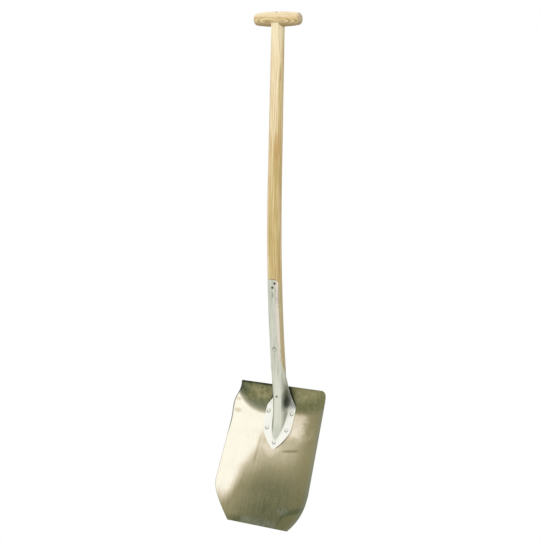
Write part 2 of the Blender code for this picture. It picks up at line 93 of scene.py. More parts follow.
# Blade's left side, which swells a little and then leans in to a sharper top corner
LEFT_CORNER_RADIUS = 0.0022
LEFT_SWELL = 0.0042
LEFT_SWELL_START = 0.262
LEFT_SWELL_TOP = 0.312
LEFT_SWELL_END = 0.350
LEFT_LEAN = 0.0078
LEFT_LEAN_START = 0.318
LEFT_LEAN_END = 0.390

# Straps: the tongue's end, the socket's folds, and the shield's half widths at drops below the
# blade's top
TONGUE_ROUNDING = 0.010
TONGUE_END_SHARE = 0.55
WRAP_START = 0.079
WRAP_END = 0.025
WRAP_REACH = 0.005
WRAP_BACK_SLOPE = 0.30
SOCKET_DRAFT = 0.10
FOLD = 0.001
WALL_LEAST = 0.0012
FLANGE_START = 0.0009
FLANGE_LEAST = 0.0006
SHIELD_OUTLINE = (
    (-0.079, 0.0200),
    (-0.025, 0.0208),
    (0.009, 0.0240),
    (0.036, 0.0295),
    (0.056, 0.0425),
    (0.068, 0.0440),
    (0.106, 0.0428),
    (0.121, 0.0395),
    (0.146, 0.0215),
    (0.1633, 0.0030),
)
BACK_FLATTEN_START = 0.075
BACK_FLATTEN_END = 0.012
BACK_NECK = 0.0105
BACK_SHIELD_DROP = 0.0665

# Rivets: how far right of the blade's middle and below its top they sit
RIVET_SHANK = 0.0045
RIVET_HEAD_HEIGHT = 0.0024
FLANGE_RIVETS = {
    "flange_rivet_upper_left": (-0.0354, 0.0665),
    "flange_rivet_upper_right": (0.0354, 0.0665),
    "flange_rivet_lower_left": (-0.0296, 0.1115),
    "flange_rivet_lower_right": (0.0296, 0.1115),
    "flange_rivet_tip": (0.0, 0.148),
}
STRAP_RIVET_HEIGHT = 0.107
STRAP_RIVET_TURN = math.radians(9.0)

# Nails of the tongues: their height, their turn round the shaft and their side, -1 being the front
NAIL_SHANK = 0.0028
NAIL_HEAD_HEIGHT = 0.0014
NAIL_LENGTH = 0.014
NAIL_POINT_SHARE = 0.2
TONGUE_NAILS = {
    "front_nail_upper": (0.286, math.radians(27.0), -1),
    "front_nail_lower": (0.275, math.radians(9.0), -1),
    "back_nail_upper": (0.286, math.radians(27.0), 1),
    "back_nail_lower": (0.275, math.radians(9.0), 1),
}
SOCKET_NAIL_DEPTH = 0.022
GRIP_NAIL_OFFSET = 0.006
GRIP_NAIL_LENGTH = 0.022

# Facets, and the eased edges of the sheets and heads
POLE_SIDES = 128
TENON_SIDES = 64
GRIP_SIDES = 96
HEAD_SIDES = 32
HEAD_RIM_SHARE = 0.08
BLADE_COLUMNS = 36
BACK_STRAP_COLUMNS = 14
CROWN_TURNS = [math.radians(turn) for turn in range(0, 79, 6)]
WALL_SHARES = (0.0, 0.3, 0.6, 0.8, 0.95)
FLANGE_SHARES = (0.08, 0.3, 0.55, 0.8, 1.0)
BLADE_EASING = 0.0004
STRAP_EASING = 0.0005
EASED_ANGLE = math.radians(62)
SMOOTH_ANGLE = math.radians(35)

# Where the blade's painted bright reflection ends: the share of the reach below left of the middle,
# at shares of the blade's length
REFLECTION_REACH = 0.14
REFLECTION_BORDER = (
    (0.0, 0.92),
    (0.135, 0.76),
    (0.27, 0.63),
    (0.39, 0.58),
    (0.43, 0.54),
    (0.51, 0.41),
    (0.56, 0.35),
    (0.65, 0.30),
    (0.76, 0.24),
    (1.0, 0.15),
)

# Ash: the cosine and sine of the turn of the shaft's growth layers, the rings in a metre across
# them, and the depth of the grain's relief
GRAIN_COS, GRAIN_SIN = 0.866, 0.5
RINGS_PER_METRE = 300
GRAIN_RELIEF = 0.00012
STEEL_RELIEF = 0.0002

# Stage: (name, place, diameter, power) of the lamps, which all face the object's middle
LAMPS = (
    ("key", (0.1, -3.7, 1.3), 3.0, 95.0),
    ("overhead", (0.2, -0.3, 2.6), 2.6, 23.0),
    ("fill", (2.8, 0.6, -0.2), 2.6, 14.0),
    ("behind", (-0.9, 3.6, 0.9), 3.0, 60.0),
)
LAMP_TARGET = Vector((0, 0, -0.65))
WORLD_LIGHT = 0.42
FLOOR_HEIGHT = -2.1
FLOOR_SIZE = 60
FLOOR_WHITE = 0.3
FLOOR_FADE = (0.7, 1.7)
CAMERA_PLACE = (1.66215, -2.91972, -0.09448)
CAMERA_TURN = (math.radians(90 - 8.98765), 0.0, math.radians(30))
CAMERA_LENS = 86.603
CAMERA_SENSOR = 36.0


def paint(red, green, blue):
    """Linear colour from its values out of 255."""
    shares = [value / 255 for value in (red, green, blue)]
    return tuple(s / 12.92 if s <= 0.04045 else ((s + 0.055) / 1.055) ** 2.4 for s in shares)


def dim(shade, share):
    return [value * share for value in shade]


def length(name, description, default):
    return bpy.props.FloatProperty(
        name=name, description=description, default=default, min=0.0, precision=4, unit="LENGTH"
    )


def angle(name, description, degrees):
    return bpy.props.FloatProperty(
        name=name, description=description, default=math.radians(degrees), unit="ROTATION"
    )


def colour(name, description, *shade):
    return bpy.props.FloatVectorProperty(
        name=name, description=description, default=paint(*shade), min=0.0, max=1.0, subtype="COLOR"
    )


class ShovelGripSizes(bpy.types.PropertyGroup):
    bar_length: length("Length", "Bar from end to end", GRIP_HIGH.x - GRIP_LOW.x)
    diameter: length("Diameter", "Bar at its middle", GRIP_HIGH.z - GRIP_LOW.z)
    end_diameter: length("End diameter", "Bar at its ends", 0.029)
    end_rounding: length("End rounding", "Radius of the bar's end corners", 0.006)
    axis_height: length("Axis height", "Bar's axis over the origin", 0.0195)


class ShovelShaftSizes(bpy.types.PropertyGroup):
    top_diameter: length("Top diameter", "Shaft under the grip", 0.0345)
    diameter: length("Diameter", "Shaft above the straps", 0.038)
    swell_length: length("Swell length", "Stretch in which the shaft thickens", 0.62)
    lean: angle("Lean", "Forward lean of the upper shaft", 2.3)
    bend_length: length("Bend length", "Stretch that is steamed to a bend", 0.50)
    bend_turn: angle("Bend", "How far the bend turns the shaft back", 9.5)
    foot_radius: length("Foot radius", "Radius of the curve in the socket", 0.345)


class ShovelBladeSizes(bpy.types.PropertyGroup):
    top_depth: length("Depth", "Blade's top edge below the origin", 0.9415)
    height: length("Length", "Blade along its flat middle", 0.3717)
    width: length("Width", "Blade at its widest", 0.2805)
    top_width: length("Top width", "Blade along its top edge", 0.262)
    edge_width: length("Edge width", "Cutting edge", 0.1805)
    corner_length: length("Corner length", "Height of the rounded lower corners", 0.0998)
    sheet: length("Sheet", "Thickness of the steel", 0.002)
    side_rise: length("Side rise", "How far the sides stand forward", 0.0225)
    wall_rise: length("Wall rise", "How far the top edge stands forward", 0.0275)
    wall_angle: angle("Wall angle", "Slope of the bent top against the flat", 44.0)
    lift: angle("Lift", "Blade's angle to the shaft's line", 25.24)


class ShovelStrapSizes(bpy.types.PropertyGroup):
    sheet: length("Sheet", "Thickness of the steel", 0.002)
    tongue_length: length("Tongue length", "Straps above the blade's top edge", 0.295)
    tongue_wrap: angle("Tongue wrap", "Half of the turn that a tongue covers", 57.0)
    rivet_head: length("Rivet head", "Diameter of the rivet heads", 0.0090)
    nail_head: length("Nail head", "Diameter of the nail heads", 0.0065)


class ShovelColours(bpy.types.PropertyGroup):
    ash_pale: colour("Pale ash", "Sapwood near the grip", 243, 225, 186)
    ash_golden: colour("Golden ash", "Wood lower down the shaft", 206, 184, 122)
    ash_blush: colour("Brown ash", "Pinkish streaks in the wood", 208, 170, 122)
    ash_grain: colour("Ash grain", "Dark line of each growth ring", 170, 140, 84)
    hardwood: colour("Wedge", "Hardwood of the wedge", 206, 172, 122)
    # The blade's three steel tones are its painted reflection, from bright to dark
    steel_reflection_bright: colour("Bright steel", "Blade's painted bright reflection", 254, 250, 232)
    steel_reflection_tan: colour("Tan steel", "Blade's painted middle reflection", 206, 195, 166)
    steel_reflection_olive: colour("Olive steel", "Blade's painted dark reflection", 108, 108, 78)
    strap: colour("Strap", "Galvanised straps", 208, 210, 194)
    rivet: colour("Rivet", "Rivet heads", 252, 252, 242)
    nail: colour("Nail", "Blued nail heads", 92, 92, 82)
    rubbed_nail: colour("Rubbed nail", "Nail head on the socket's ridge", 142, 144, 128)


SETTINGS = {
    "shovel_grip": ShovelGripSizes,
    "shovel_shaft": ShovelShaftSizes,
    "shovel_blade": ShovelBladeSizes,
    "shovel_straps": ShovelStrapSizes,
    "shovel_colours": ShovelColours,
}


# Forms: where the surfaces lie. The formulas that the finishes share work on shades too.


def soft_max(a, b, blend):
    """The larger of two values, with the corner between them rounded by the blend."""
    return max(a, b) + blend * math.log1p(math.exp(-abs(a - b) / blend))


def soft_min(a, b, blend):
    return -soft_max(-a, -b, blend)


def most(a, b):
    return a.most(b) if isinstance(a, Shade) else max(a, b)


def least(a, b):
    return a.least(b) if isinstance(a, Shade) else min(a, b)


def smooth_step(low, high, value):
    if isinstance(value, Shade):
        return value.step(low, high)
    t = min(max((value - low) / (high - low), 0.0), 1.0)
    return t * t * (3 - 2 * t)


def spread(*stretches):
    """Values along stretches of (start, end, steps), each start being the last stretch's end."""
    values = [stretches[0][0]]
    for start, end, steps in stretches:
        values += [start + (end - start) * k / steps for k in range(1, steps + 1)]
    return values


def round_corner(start, radius):
    """Values past a start that turn a quarter circle of a radius."""
    return [start + radius * math.sin(k * math.pi / 20) for k in range(1, 11)]


class ShaftForm:
    """Centre line and thickness of the bent pole."""

    def __init__(self, scene):
        self.size = scene.shovel_shaft
        self.top_depth = scene.shovel_blade.top_depth
        self.bend_start = self.top_depth - BEND_END_HEIGHT - self.size.bend_length
        self.strap_end = scene.shovel_straps.tongue_length - self.top_depth + GAP
        self.foot_start = self.top_depth + FOOT_DROP
        self.end = -(self.foot_start + FOOT_LENGTH)
        self.strapped_radius = self.size.diameter / 2 - STRAP_RECESS
        self.lean_slope = math.tan(self.size.lean)
        self.turn_slope = math.tan(self.size.bend_turn - self.size.lean) + self.lean_slope

    def y(self, z):
        depth = most(-z, 0.0)
        length = self.size.bend_length
        curve = self.turn_slope / length
        bent = least(most(depth - self.bend_start, 0.0), length)
        past = most(depth - self.bend_start - length, 0.0)
        foot = most(depth - self.foot_start, 0.0)
        y = -self.lean_slope * depth + curve * bent**2 / 2 + curve * length * past
        return y - foot**2 / (2 * self.size.foot_radius)

    def recess(self, z):
        """How deep the straps are let into the pole."""
        ramp_end = self.strap_end + STRAP_RECESS_RAMP
        return STRAP_RECESS * (1 - smooth_step(self.strap_end, ramp_end, z))

    def radius(self, z):
        swell = smooth_step(0.0, self.size.swell_length, -z)
        thickness = self.size.top_diameter + (self.size.diameter - self.size.top_diameter) * swell
        return thickness / 2 - self.recess(z)

    def slope(self, z):
        step = 0.002
        return (self.y(z + step) - self.y(z - step)) / (2 * step)


class BladeForm:
    """The blade's front surface: u across, v up from the cutting edge along the flat middle."""

    def __init__(self, scene):
        size = self.size = scene.shovel_blade
        shaft = ShaftForm(scene)
        self.up = Vector((0.0, math.sin(size.lift), math.cos(size.lift)))
        self.out = Vector((0.0, -math.cos(size.lift), math.sin(size.lift)))
        self.wall_slope = math.tan(size.wall_angle)
        seat = shaft.y(-size.top_depth) + shaft.strapped_radius - SEAT_DEPTH
        top = Vector((0.0, seat, -size.top_depth))
        self.corner = top - self.up * size.height - self.out * self.rise(0.0, size.height)

    def rise(self, u, v):
        """How far the front stands forward of the flat."""
        size = self.size
        sides = size.side_rise * abs(2 * u / size.width) ** SIDE_POWER
        wall = size.wall_rise + (v - size.height) * self.wall_slope
        return soft_max(sides * smooth_step(0.0, SIDE_FADE, v), wall, WALL_BEND)

    def point(self, u, v):
        return self.corner + Vector((u, 0, 0)) + self.up * v + self.out * self.rise(u, v)

    def normal(self, u, v):
        step = 0.001
        across = self.point(u + step, v) - self.point(u - step, v)
        up = self.point(u, v + step) - self.point(u, v - step)
        return across.cross(up).normalized()

    def y(self, x, z, away):
        """Y on the front, or the distance away in front of it (negative: behind)."""
        v = 0.0
        for _ in range(40):
            v = (z - self.corner.z - self.rise(x, v) * self.out.z) / self.up.z
        return self.point(x, v).y + away / self.normal(x, v).y

    def side(self, v):
        """Half of the width, without the top corners' rounding."""
        size = self.size
        narrowing = (size.width - size.top_width) / 2 / (size.height - size.corner_length)
        below = most(1 - v / size.corner_length, 0.0)
        side = size.width / 2 - narrowing * most(v - size.corner_length, 0.0)
        return side - (size.width - size.edge_width) / 2 * below**EDGE_CORNER_POWER

    def left_swell(self, v):
        """The left side stands out between the swell's ends, and leans in above them."""
        swell = smooth_step(LEFT_SWELL_START, LEFT_SWELL_TOP, v)
        swell = swell - smooth_step(LEFT_SWELL_TOP, LEFT_SWELL_END, v)
        return LEFT_SWELL * swell - LEFT_LEAN * smooth_step(LEFT_LEAN_START, LEFT_LEAN_END, v)

    def half_width(self, v, rounding=TOP_CORNER_RADIUS):
        above = max(v - (self.size.height - rounding), 0.0)
        return self.side(v) - rounding + math.sqrt(max(rounding**2 - above**2, 0.0))

    def left_half_width(self, v):
        return self.half_width(v, LEFT_CORNER_RADIUS) + self.left_swell(v)


class StrapForm:
    """Inner faces of the two straps, row by row from the tongue's end down to the shield's tip."""

    def __init__(self, scene):
        self.shaft = ShaftForm(scene)
        self.blade = BladeForm(scene)
        self.top_edge = -scene.shovel_blade.top_depth
        self.length = scene.shovel_straps.tongue_length
        self.wrap = scene.shovel_straps.tongue_wrap
        self.sheet = scene.shovel_straps.sheet
        self.blade_sheet = scene.shovel_blade.sheet
        self.radius = self.shaft.strapped_radius + GAP

    def half_turn(self, height):
        """How far round the shaft a tongue reaches: less at its rounded end."""
        from_end = self.length - height
        if from_end >= TONGUE_ROUNDING:
            return self.wrap
        left = 1 - max(from_end, 0.0) / TONGUE_ROUNDING
        return self.wrap * max(math.sqrt(1 - left**2), TONGUE_END_SHARE)

    def shield_half_width(self, height):
        """A smooth curve through the shield's outline."""
        drop = -height
        points = SHIELD_OUTLINE
        if drop <= points[0][0]:
            return points[0][1]
        for k in range(len(points) - 1):
            (x0, y0), (x1, y1) = points[k], points[k + 1]
            if drop > x1:
                continue
            before = points[max(k - 1, 0)]
            after = points[min(k + 2, len(points) - 1)]
            slope0 = (y1 - before[1]) / (x1 - before[0])
            slope1 = (after[1] - y0) / (after[0] - x0)
            length = x1 - x0
            t = (drop - x0) / length
            value = (2 * t**3 - 3 * t**2 + 1) * y0 + (3 * t**2 - 2 * t**3) * y1
            bow = (t**3 - 2 * t**2 + t) * slope0 + (t**3 - t**2) * slope1
            return value + bow * length
        return points[-1][1]

    def seat(self, x, height):
        """Y of the flange's seat: on the blade's front, and drawn forward to the shaft above it."""
        wrap = self.shaft.y(self.top_edge + WRAP_END) + WRAP_REACH
        wrap += WRAP_BACK_SLOPE * (WRAP_END - height)
        return soft_min(self.blade.y(x, self.top_edge + height, GAP), wrap, 2 * FOLD)

    def socket(self, x, height):
        """Y of the socket: a tube round the shaft's foot that folds out on to the seat."""
        centre = self.shaft.y(self.top_edge + height)
        rise = math.sqrt(max(self.radius**2 - min(x, self.radius) ** 2, 0.0))
        tube = centre - rise + max(x - self.radius, 0.0) / SOCKET_DRAFT
        return soft_min(tube, self.seat(x, height), FOLD)

    def columns(self, height):
        """Distances from the middle of the socket's columns, out to the shield's edge."""
        edge = self.shield_half_width(height)
        centre = self.shaft.y(self.top_edge + height)
        depth = max(self.seat(self.radius, height) - centre, 0.0)
        draft = depth * SOCKET_DRAFT + WALL_LEAST
        crown = [self.radius * math.sin(turn) for turn in CROWN_TURNS]
        wall = [self.radius + draft * share for share in WALL_SHARES]
        foot = wall[-1] + FLANGE_START
        flange = [foot + max(edge - foot, FLANGE_LEAST) * share for share in FLANGE_SHARES]
        columns = crown + wall + flange
        shrink = min(edge / columns[-1], 1.0)
        return [x * shrink for x in columns]

    def front_row(self, height):
        z = self.top_edge + height
        centre = self.shaft.y(z)
        radius = self.shaft.radius(z) + GAP
        wrapped = smooth_step(0.0, 1.0, (WRAP_START - height) / (WRAP_START - WRAP_END))
        columns = self.columns(min(height, WRAP_START))
        half = []
        for k, x in enumerate(columns):
            turn, reach = self.half_turn(height) * k / (len(columns) - 1), radius
            if height < WRAP_START:
                y = self.socket(x, height)
                turn += (math.atan2(x, centre - y) - turn) * wrapped
                reach += (math.hypot(x, centre - y) - reach) * wrapped
            half.append(Vector((reach * math.sin(turn), centre - reach * math.cos(turn), z)))
        return [Vector((-p.x, p.y, p.z)) for p in half[:0:-1]] + half

    def back_row(self, height, steps):
        z = self.top_edge + height
        centre = self.shaft.y(z)
        radius = self.shaft.radius(z) + GAP
        flat = 1 - smooth_step(BACK_FLATTEN_END, BACK_FLATTEN_START, height)
        shield = smooth_step(0.0, BACK_SHIELD_DROP, -height)
        half_width = BACK_NECK + (self.shield_half_width(height) - BACK_NECK) * shield
        half = []
        for k in range(steps + 1):
            turn = self.half_turn(height) * k / steps
            point = Vector((radius * math.sin(turn), centre + radius * math.cos(turn), z))
            if flat > 0:
                x = half_width * k / steps
                behind_blade = self.blade.y(x, z, -self.blade_sheet - GAP)
                shaft_back = self.shaft.y(max(z, self.top_edge)) + self.radius + min(height, 0.0)
                y = soft_max(behind_blade, shaft_back, FOLD)
                point = point.lerp(Vector((x, y, z)), flat)
            half.append(point)
        return half[:0:-1] + [Vector((-p.x, p.y, p.z)) for p in half]

    def bare_wood(self, height):
        """Turns from the front between which the wood shows beside the two straps."""
        centre = self.shaft.y(self.top_edge + height)
        front, back = self.front_row(height)[-1], self.back_row(height, 1)[0]
        low = math.atan2(front.x, centre - front.y)
        return low, math.pi - math.atan2(back.x, back.y - centre)

    def outer_face(self, height, turn, facing):
        """Place and outward direction on a strap: facing -1 is the front, +1 the back."""
        z = self.top_edge + height
        level = Vector((0, facing, -facing * self.shaft.slope(z))).normalized() * math.cos(turn)
        outward = (Vector((math.sin(turn), 0, 0)) + level).normalized()
        reach = self.shaft.radius(z) + GAP + self.sheet
        return Vector((0, self.shaft.y(z), z)) + outward * reach, outward


def grip_radius(size, x):
    """Radius of the turned bar at a distance from its middle."""
    half = size.bar_length / 2
    thinning = (size.diameter - size.end_diameter) / 2 * (abs(x) / half) ** GRIP_BARREL_POWER
    past = max(abs(x) - (half - size.end_rounding), 0.0)
    corner = size.end_rounding - math.sqrt(max(size.end_rounding**2 - past**2, 0.0))
    return size.diameter / 2 - thinning - corner


# Making pieces


def put_down():
    """Leaves edit mode and selects nothing, so that the next tool touches only its own piece."""
    if bpy.context.mode != "OBJECT":
        bpy.ops.object.mode_set(mode="OBJECT")
    bpy.ops.object.select_all(action="DESELECT")


def pick_up(piece):
    put_down()
    piece.select_set(True)
    bpy.context.view_layer.objects.active = piece


def new_piece(name):
    """Names the piece that a tool has just made."""
    piece = bpy.context.object
    piece.name = piece.data.name = name
    return piece


def fix_place(piece):
    """Moves the piece's place into its mesh."""
    pick_up(piece)
    bpy.ops.object.transform_apply(location=True, rotation=True, scale=True)
    return piece


def face_outward():
    """Turns all faces of the piece in edit mode outward, and puts it down."""
    bpy.ops.mesh.select_all(action="SELECT")
    bpy.ops.mesh.normals_make_consistent(inside=False)
    put_down()


def apply_modifier(piece, kind, **settings):
    pick_up(piece)
    modifier = piece.modifiers.new(kind.title(), kind)
    for name, value in settings.items():
        setattr(modifier, name, value)
    bpy.ops.object.modifier_apply(modifier=modifier.name)


def cut(piece, tool, operation="DIFFERENCE"):
    """Cuts the piece with a tool, joins it or keeps the common part, and throws the tool away."""
    apply_modifier(piece, "BOOLEAN", operation=operation, object=tool, solver="EXACT")
    bpy.data.objects.remove(tool, do_unlink=True)


def draw_out(name, stations, sides):
    """A disc drawn out along Z through (centre, radius) stations, closed at both ends."""
    put_down()
    centre, radius = stations[0]
    bpy.ops.mesh.primitive_circle_add(
        vertices=sides, radius=radius, fill_type="NGON", location=centre
    )
    piece = new_piece(name)
    bpy.ops.object.mode_set(mode="EDIT")
    for after, wide in stations[1:]:
        bpy.ops.mesh.extrude_region_move(TRANSFORM_OT_translate={"value": after - centre})
        grown = wide / radius
        bpy.ops.transform.resize(value=(grown, grown, 1.0), center_override=after)
        centre, radius = after, wide
    face_outward()
    return fix_place(piece)


def turn_up(name, profile, sides):
    """A body turned about Z through (radius, height) points."""
    return draw_out(name, [(Vector((0, 0, height)), radius) for radius, height in profile], sides)


def lay_along(piece, origin, outward):
    """Turns a piece made along Z to a direction and sets it at a place."""
    turn = outward.to_track_quat("Z", "Y").to_matrix().to_4x4()
    piece.matrix_world = Matrix.Translation(origin) @ turn
    return fix_place(piece)


def lay_grid(name, across, down, place):
    """A flat grid whose points are placed by their shares of the way across and down."""
    put_down()
    bpy.ops.mesh.primitive_grid_add(x_subdivisions=across, y_subdivisions=down, size=1.0)
    piece = new_piece(name)
    for vertex in piece.data.vertices:
        vertex.co = place(vertex.co.x + 0.5, 0.5 - vertex.co.y)
    return piece


def press_sheet(name, rows, thickness, grows, easing):
    """A grid of rows thickened to a sheet, with its cut edges eased."""
    across, down = len(rows[0]) - 1, len(rows) - 1
    piece = lay_grid(name, across, down, lambda x, y: rows[round(y * down)][round(x * across)])
    apply_modifier(piece, "SOLIDIFY", thickness=thickness, offset=grows, use_even_offset=True)
    edges = {"limit_method": "ANGLE", "angle_limit": EASED_ANGLE}
    apply_modifier(piece, "BEVEL", width=easing, segments=2, **edges)
    return piece


def dress(piece, finish, node):
    """Smooths a piece, gives it its surface and puts it in the place of its CAD node."""
    pick_up(piece)
    bpy.ops.object.shade_smooth_by_angle(angle=SMOOTH_ANGLE)
    piece.data.materials.clear()
    piece.data.materials.append(finish)
    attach(piece, "root")
    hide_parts(node)


def fasten(profile, node, seat, outward, finish):
    """Turns up a rivet or nail from its profile and drives it into its seat."""
    piece = lay_along(turn_up(node + "_piece", profile, HEAD_SIDES), seat, outward)
    dress(piece, finish, node)


def dome(radius, height, base, direction):
    """Profile of a domed head from its rim to its crown."""
    rim = HEAD_RIM_SHARE * height
    profile = []
    for k in range(9):
        turn = k * math.pi / 18
        rise = rim + (height - rim) * math.sin(turn)
        profile.append((radius * math.cos(turn), base + direction * rise))
    return profile


def bar_tool(size, clearance):
    """Cylinder along the bar's axis, to shape what meets the bar."""
    radius = size.diameter / 2 + clearance
    half = size.bar_length / 4
    tool = turn_up("bar_tool", [(radius, -half), (radius, half)], GRIP_SIDES)
    return lay_along(tool, Vector((0, 0, size.axis_height)), Vector((1, 0, 0)))


def behind_blade(blade, top, end):
    """Block whose front follows the blade's hollow side, to shape what seats on the blade."""

    def place(across, down):
        x = 2 * SEAT_HALF_WIDTH * (across - 0.5)
        z = top + (end - top) * down
        return x, blade.y(x, z, GAP), z

    block = lay_grid("behind_blade", 24, 60, place)
    bpy.ops.object.mode_set(mode="EDIT")
    bpy.ops.mesh.select_all(action="SELECT")
    bpy.ops.mesh.extrude_region_move(TRANSFORM_OT_translate={"value": (0, SEAT_BLOCK_DEPTH, 0)})
    face_outward()
    return block


def wedge_block(name, size, clearance, width):
    """Block tapered like the wedge, standing proud of the bar until it is dressed off."""
    top = 2 * size.axis_height + WEDGE_SURPLUS
    foot = 2 * size.axis_height - WEDGE_LENGTH - clearance
    half_foot = WEDGE_FOOT / 2 + clearance
    half_top = half_foot + (WEDGE_TOP - WEDGE_FOOT) / WEDGE_LENGTH * (top - foot) / 2
    put_down()
    bpy.ops.mesh.primitive_cube_add(size=1.0, location=(0, 0, (top + foot) / 2))
    piece = new_piece(name)
    piece.dimensions = (2 * half_top, width, top - foot)
    fix_place(piece)
    for vertex in piece.data.vertices:
        if vertex.co.z < (top + foot) / 2:
            vertex.co.x *= half_foot / half_top
    return piece


# Finishes


def maths(operation, reflected=False):
    """A method of Shade that adds one Math node."""

    def method(self, *others):
        values = (*others, self) if reflected else (self, *others)
        sockets = dict(enumerate(values))
        return self.finish.node("ShaderNodeMath", {"operation": operation}, sockets)

    return method


class Shade:
    """A number that changes over a surface; Python's operators on it add Math nodes."""

    def __init__(self, finish, socket):
        self.finish = finish
        self.socket = socket

    __add__ = __radd__ = maths("ADD")
    __sub__ = maths("SUBTRACT")
    __rsub__ = maths("SUBTRACT", reflected=True)
    __mul__ = __rmul__ = maths("MULTIPLY")
    __truediv__ = maths("DIVIDE")
    __pow__ = maths("POWER")
    most = maths("MAXIMUM")
    least = maths("MINIMUM")
    size = maths("ABSOLUTE")
    cosine = maths("COSINE")
    fraction = maths("FRACT")

    def __neg__(self):
        return self * -1

    def side(self, name):
        """Another output of the same node."""
        return Shade(self.finish, self.socket.node.outputs[name])

    def clip(self, high=1.0):
        """The value held between 0 and a high value."""
        return self.most(0.0).least(high)

    def blend(self, other, share):
        """This value drawn towards another by a share."""
        return self + (other - self) * share

    def step(self, low, high):
        """0 below the first value, 1 above the second, smooth between them."""
        settings = {"interpolation_type": "SMOOTHSTEP"}
        return self.finish.node("ShaderNodeMapRange", settings, {"Value": self, 1: low, 2: high})

    def fade(self, low, high):
        """1 below the first value, 0 above the second, smooth between them."""
        return 1 - self.step(low, high)

    def between(self, start, full, going, end):
        """1 between the middle two values, 0 outside the outer two."""
        return self.step(start, full) * self.fade(going, end)


class Nodes:
    """A node tree, and the one way in which nodes are added to it."""

    def __init__(self, tree):
        self.tree = tree

    def node(self, kind, settings, sockets, output=0):
        """Adds a node: its settings first, then the values or links of its sockets."""
        made = self.tree.nodes.new(kind)
        for name, value in settings.items():
            if name == "stops":
                while len(made.color_ramp.elements) < len(value):
                    made.color_ramp.elements.new(0.5)
                for element, (position, shade) in zip(made.color_ramp.elements, value):
                    element.position = position
                    element.color = (*shade, 1.0)
            else:
                setattr(made, name, value)
        for name, value in sockets.items():
            self.feed(made.inputs[name], value)
        return Shade(self, made.outputs[output])

    def feed(self, socket, value):
        if isinstance(value, Shade):
            self.tree.links.new(value.socket, socket)
        elif socket.type == "RGBA":
            socket.default_value = (*value[:3], 1.0)
        else:
            socket.default_value = value

    def rays(self):
        """Whether the camera looks at the surface, and whether a mirror or glass does."""
        rays = self.node("ShaderNodeLightPath", {}, {})
        mirrors = rays.side("Is Glossy Ray").most(rays.side("Is Transmission Ray"))
        return rays.side("Is Camera Ray"), mirrors


class Finish(Nodes):
    """The node tree of one material, on the piece's own coordinates."""

    def __init__(self, name):
        self.material = bpy.data.materials.new(name)
        self.material.use_nodes = True
        super().__init__(self.material.node_tree)
        self.shader = self.tree.nodes["Principled BSDF"]
        coordinates = self.node("ShaderNodeTexCoord", {}, {})
        self.place = coordinates.side("Object")
        self.x, self.y, self.z = self.parts(self.place)
        self.facing = self.parts(coordinates.side("Normal"))

    def parts(self, vector):
        first = self.node("ShaderNodeSeparateXYZ", {}, {0: vector})
        return first, first.side("Y"), first.side("Z")

    def noise(self, scale, detail=2.0, roughness=0.5, place=None):
        """Cloudy values round 0, up to half either way."""
        sockets = {"Scale": scale, "Detail": detail, "Roughness": roughness}
        sockets["Vector"] = place or self.place
        return self.node("ShaderNodeTexNoise", {}, sockets) - 0.5

    def streaks(self, place, scales, detail=2.0, roughness=0.5):
        """Noise with a scale of its own in each of three directions."""
        scaled = {k: part * scale for k, (part, scale) in enumerate(zip(place, scales))}
        return self.noise(1.0, detail, roughness, self.node("ShaderNodeCombineXYZ", {}, scaled))

    def mix(self, share, first, second):
        settings = {"data_type": "RGBA", "blend_type": "MIX"}
        return self.node("ShaderNodeMix", settings, {0: share, 6: first, 7: second}, output=2)

    def coats(self, base, *coats):
        """A colour under coats of (share, red, green, blue), each shade out of 255."""
        for share, *shade in coats:
            base = self.mix(share, base, paint(*shade))
        return base

    def ramp(self, value, stops):
        return self.node("ShaderNodeValToRGB", {"stops": stops}, {0: value})

    def curve(self, value, points):
        """A value read from a curve through (value, level) points, all from 0 to 1."""
        read = self.ramp(value, [(position, (level,) * 3) for position, level in points])
        read.socket.node.color_ramp.interpolation = "B_SPLINE"
        return read

    def spot(self, u, v, place, reach):
        """1 in the middle of an oval patch, fading to 0 at its reach."""
        across = (u - place[0]) * (1 / reach[0])
        up = (v - place[1]) * (1 / reach[1])
        return (across * across + up * up).fade(0.0, 1.0)

    def surface(self, base, roughness, relief, depth, strength, metallic=0.0):
        """Feeds the shader, with a bump from the relief."""
        bump = {"Height": relief, "Distance": depth, "Strength": strength}
        values = {
            "Base Color": base,
            "Roughness": roughness,
            "Metallic": metallic,
            "Normal": self.node("ShaderNodeBump", {}, bump),
        }
        for name, value in values.items():
            self.feed(self.shader.inputs[name], value)
        return self.material


def up_the_blade(finish, form):
    """BladeForm's v on the surface."""
    return (finish.y - form.corner.y) * form.up.y + (finish.z - form.corner.z) * form.up.z


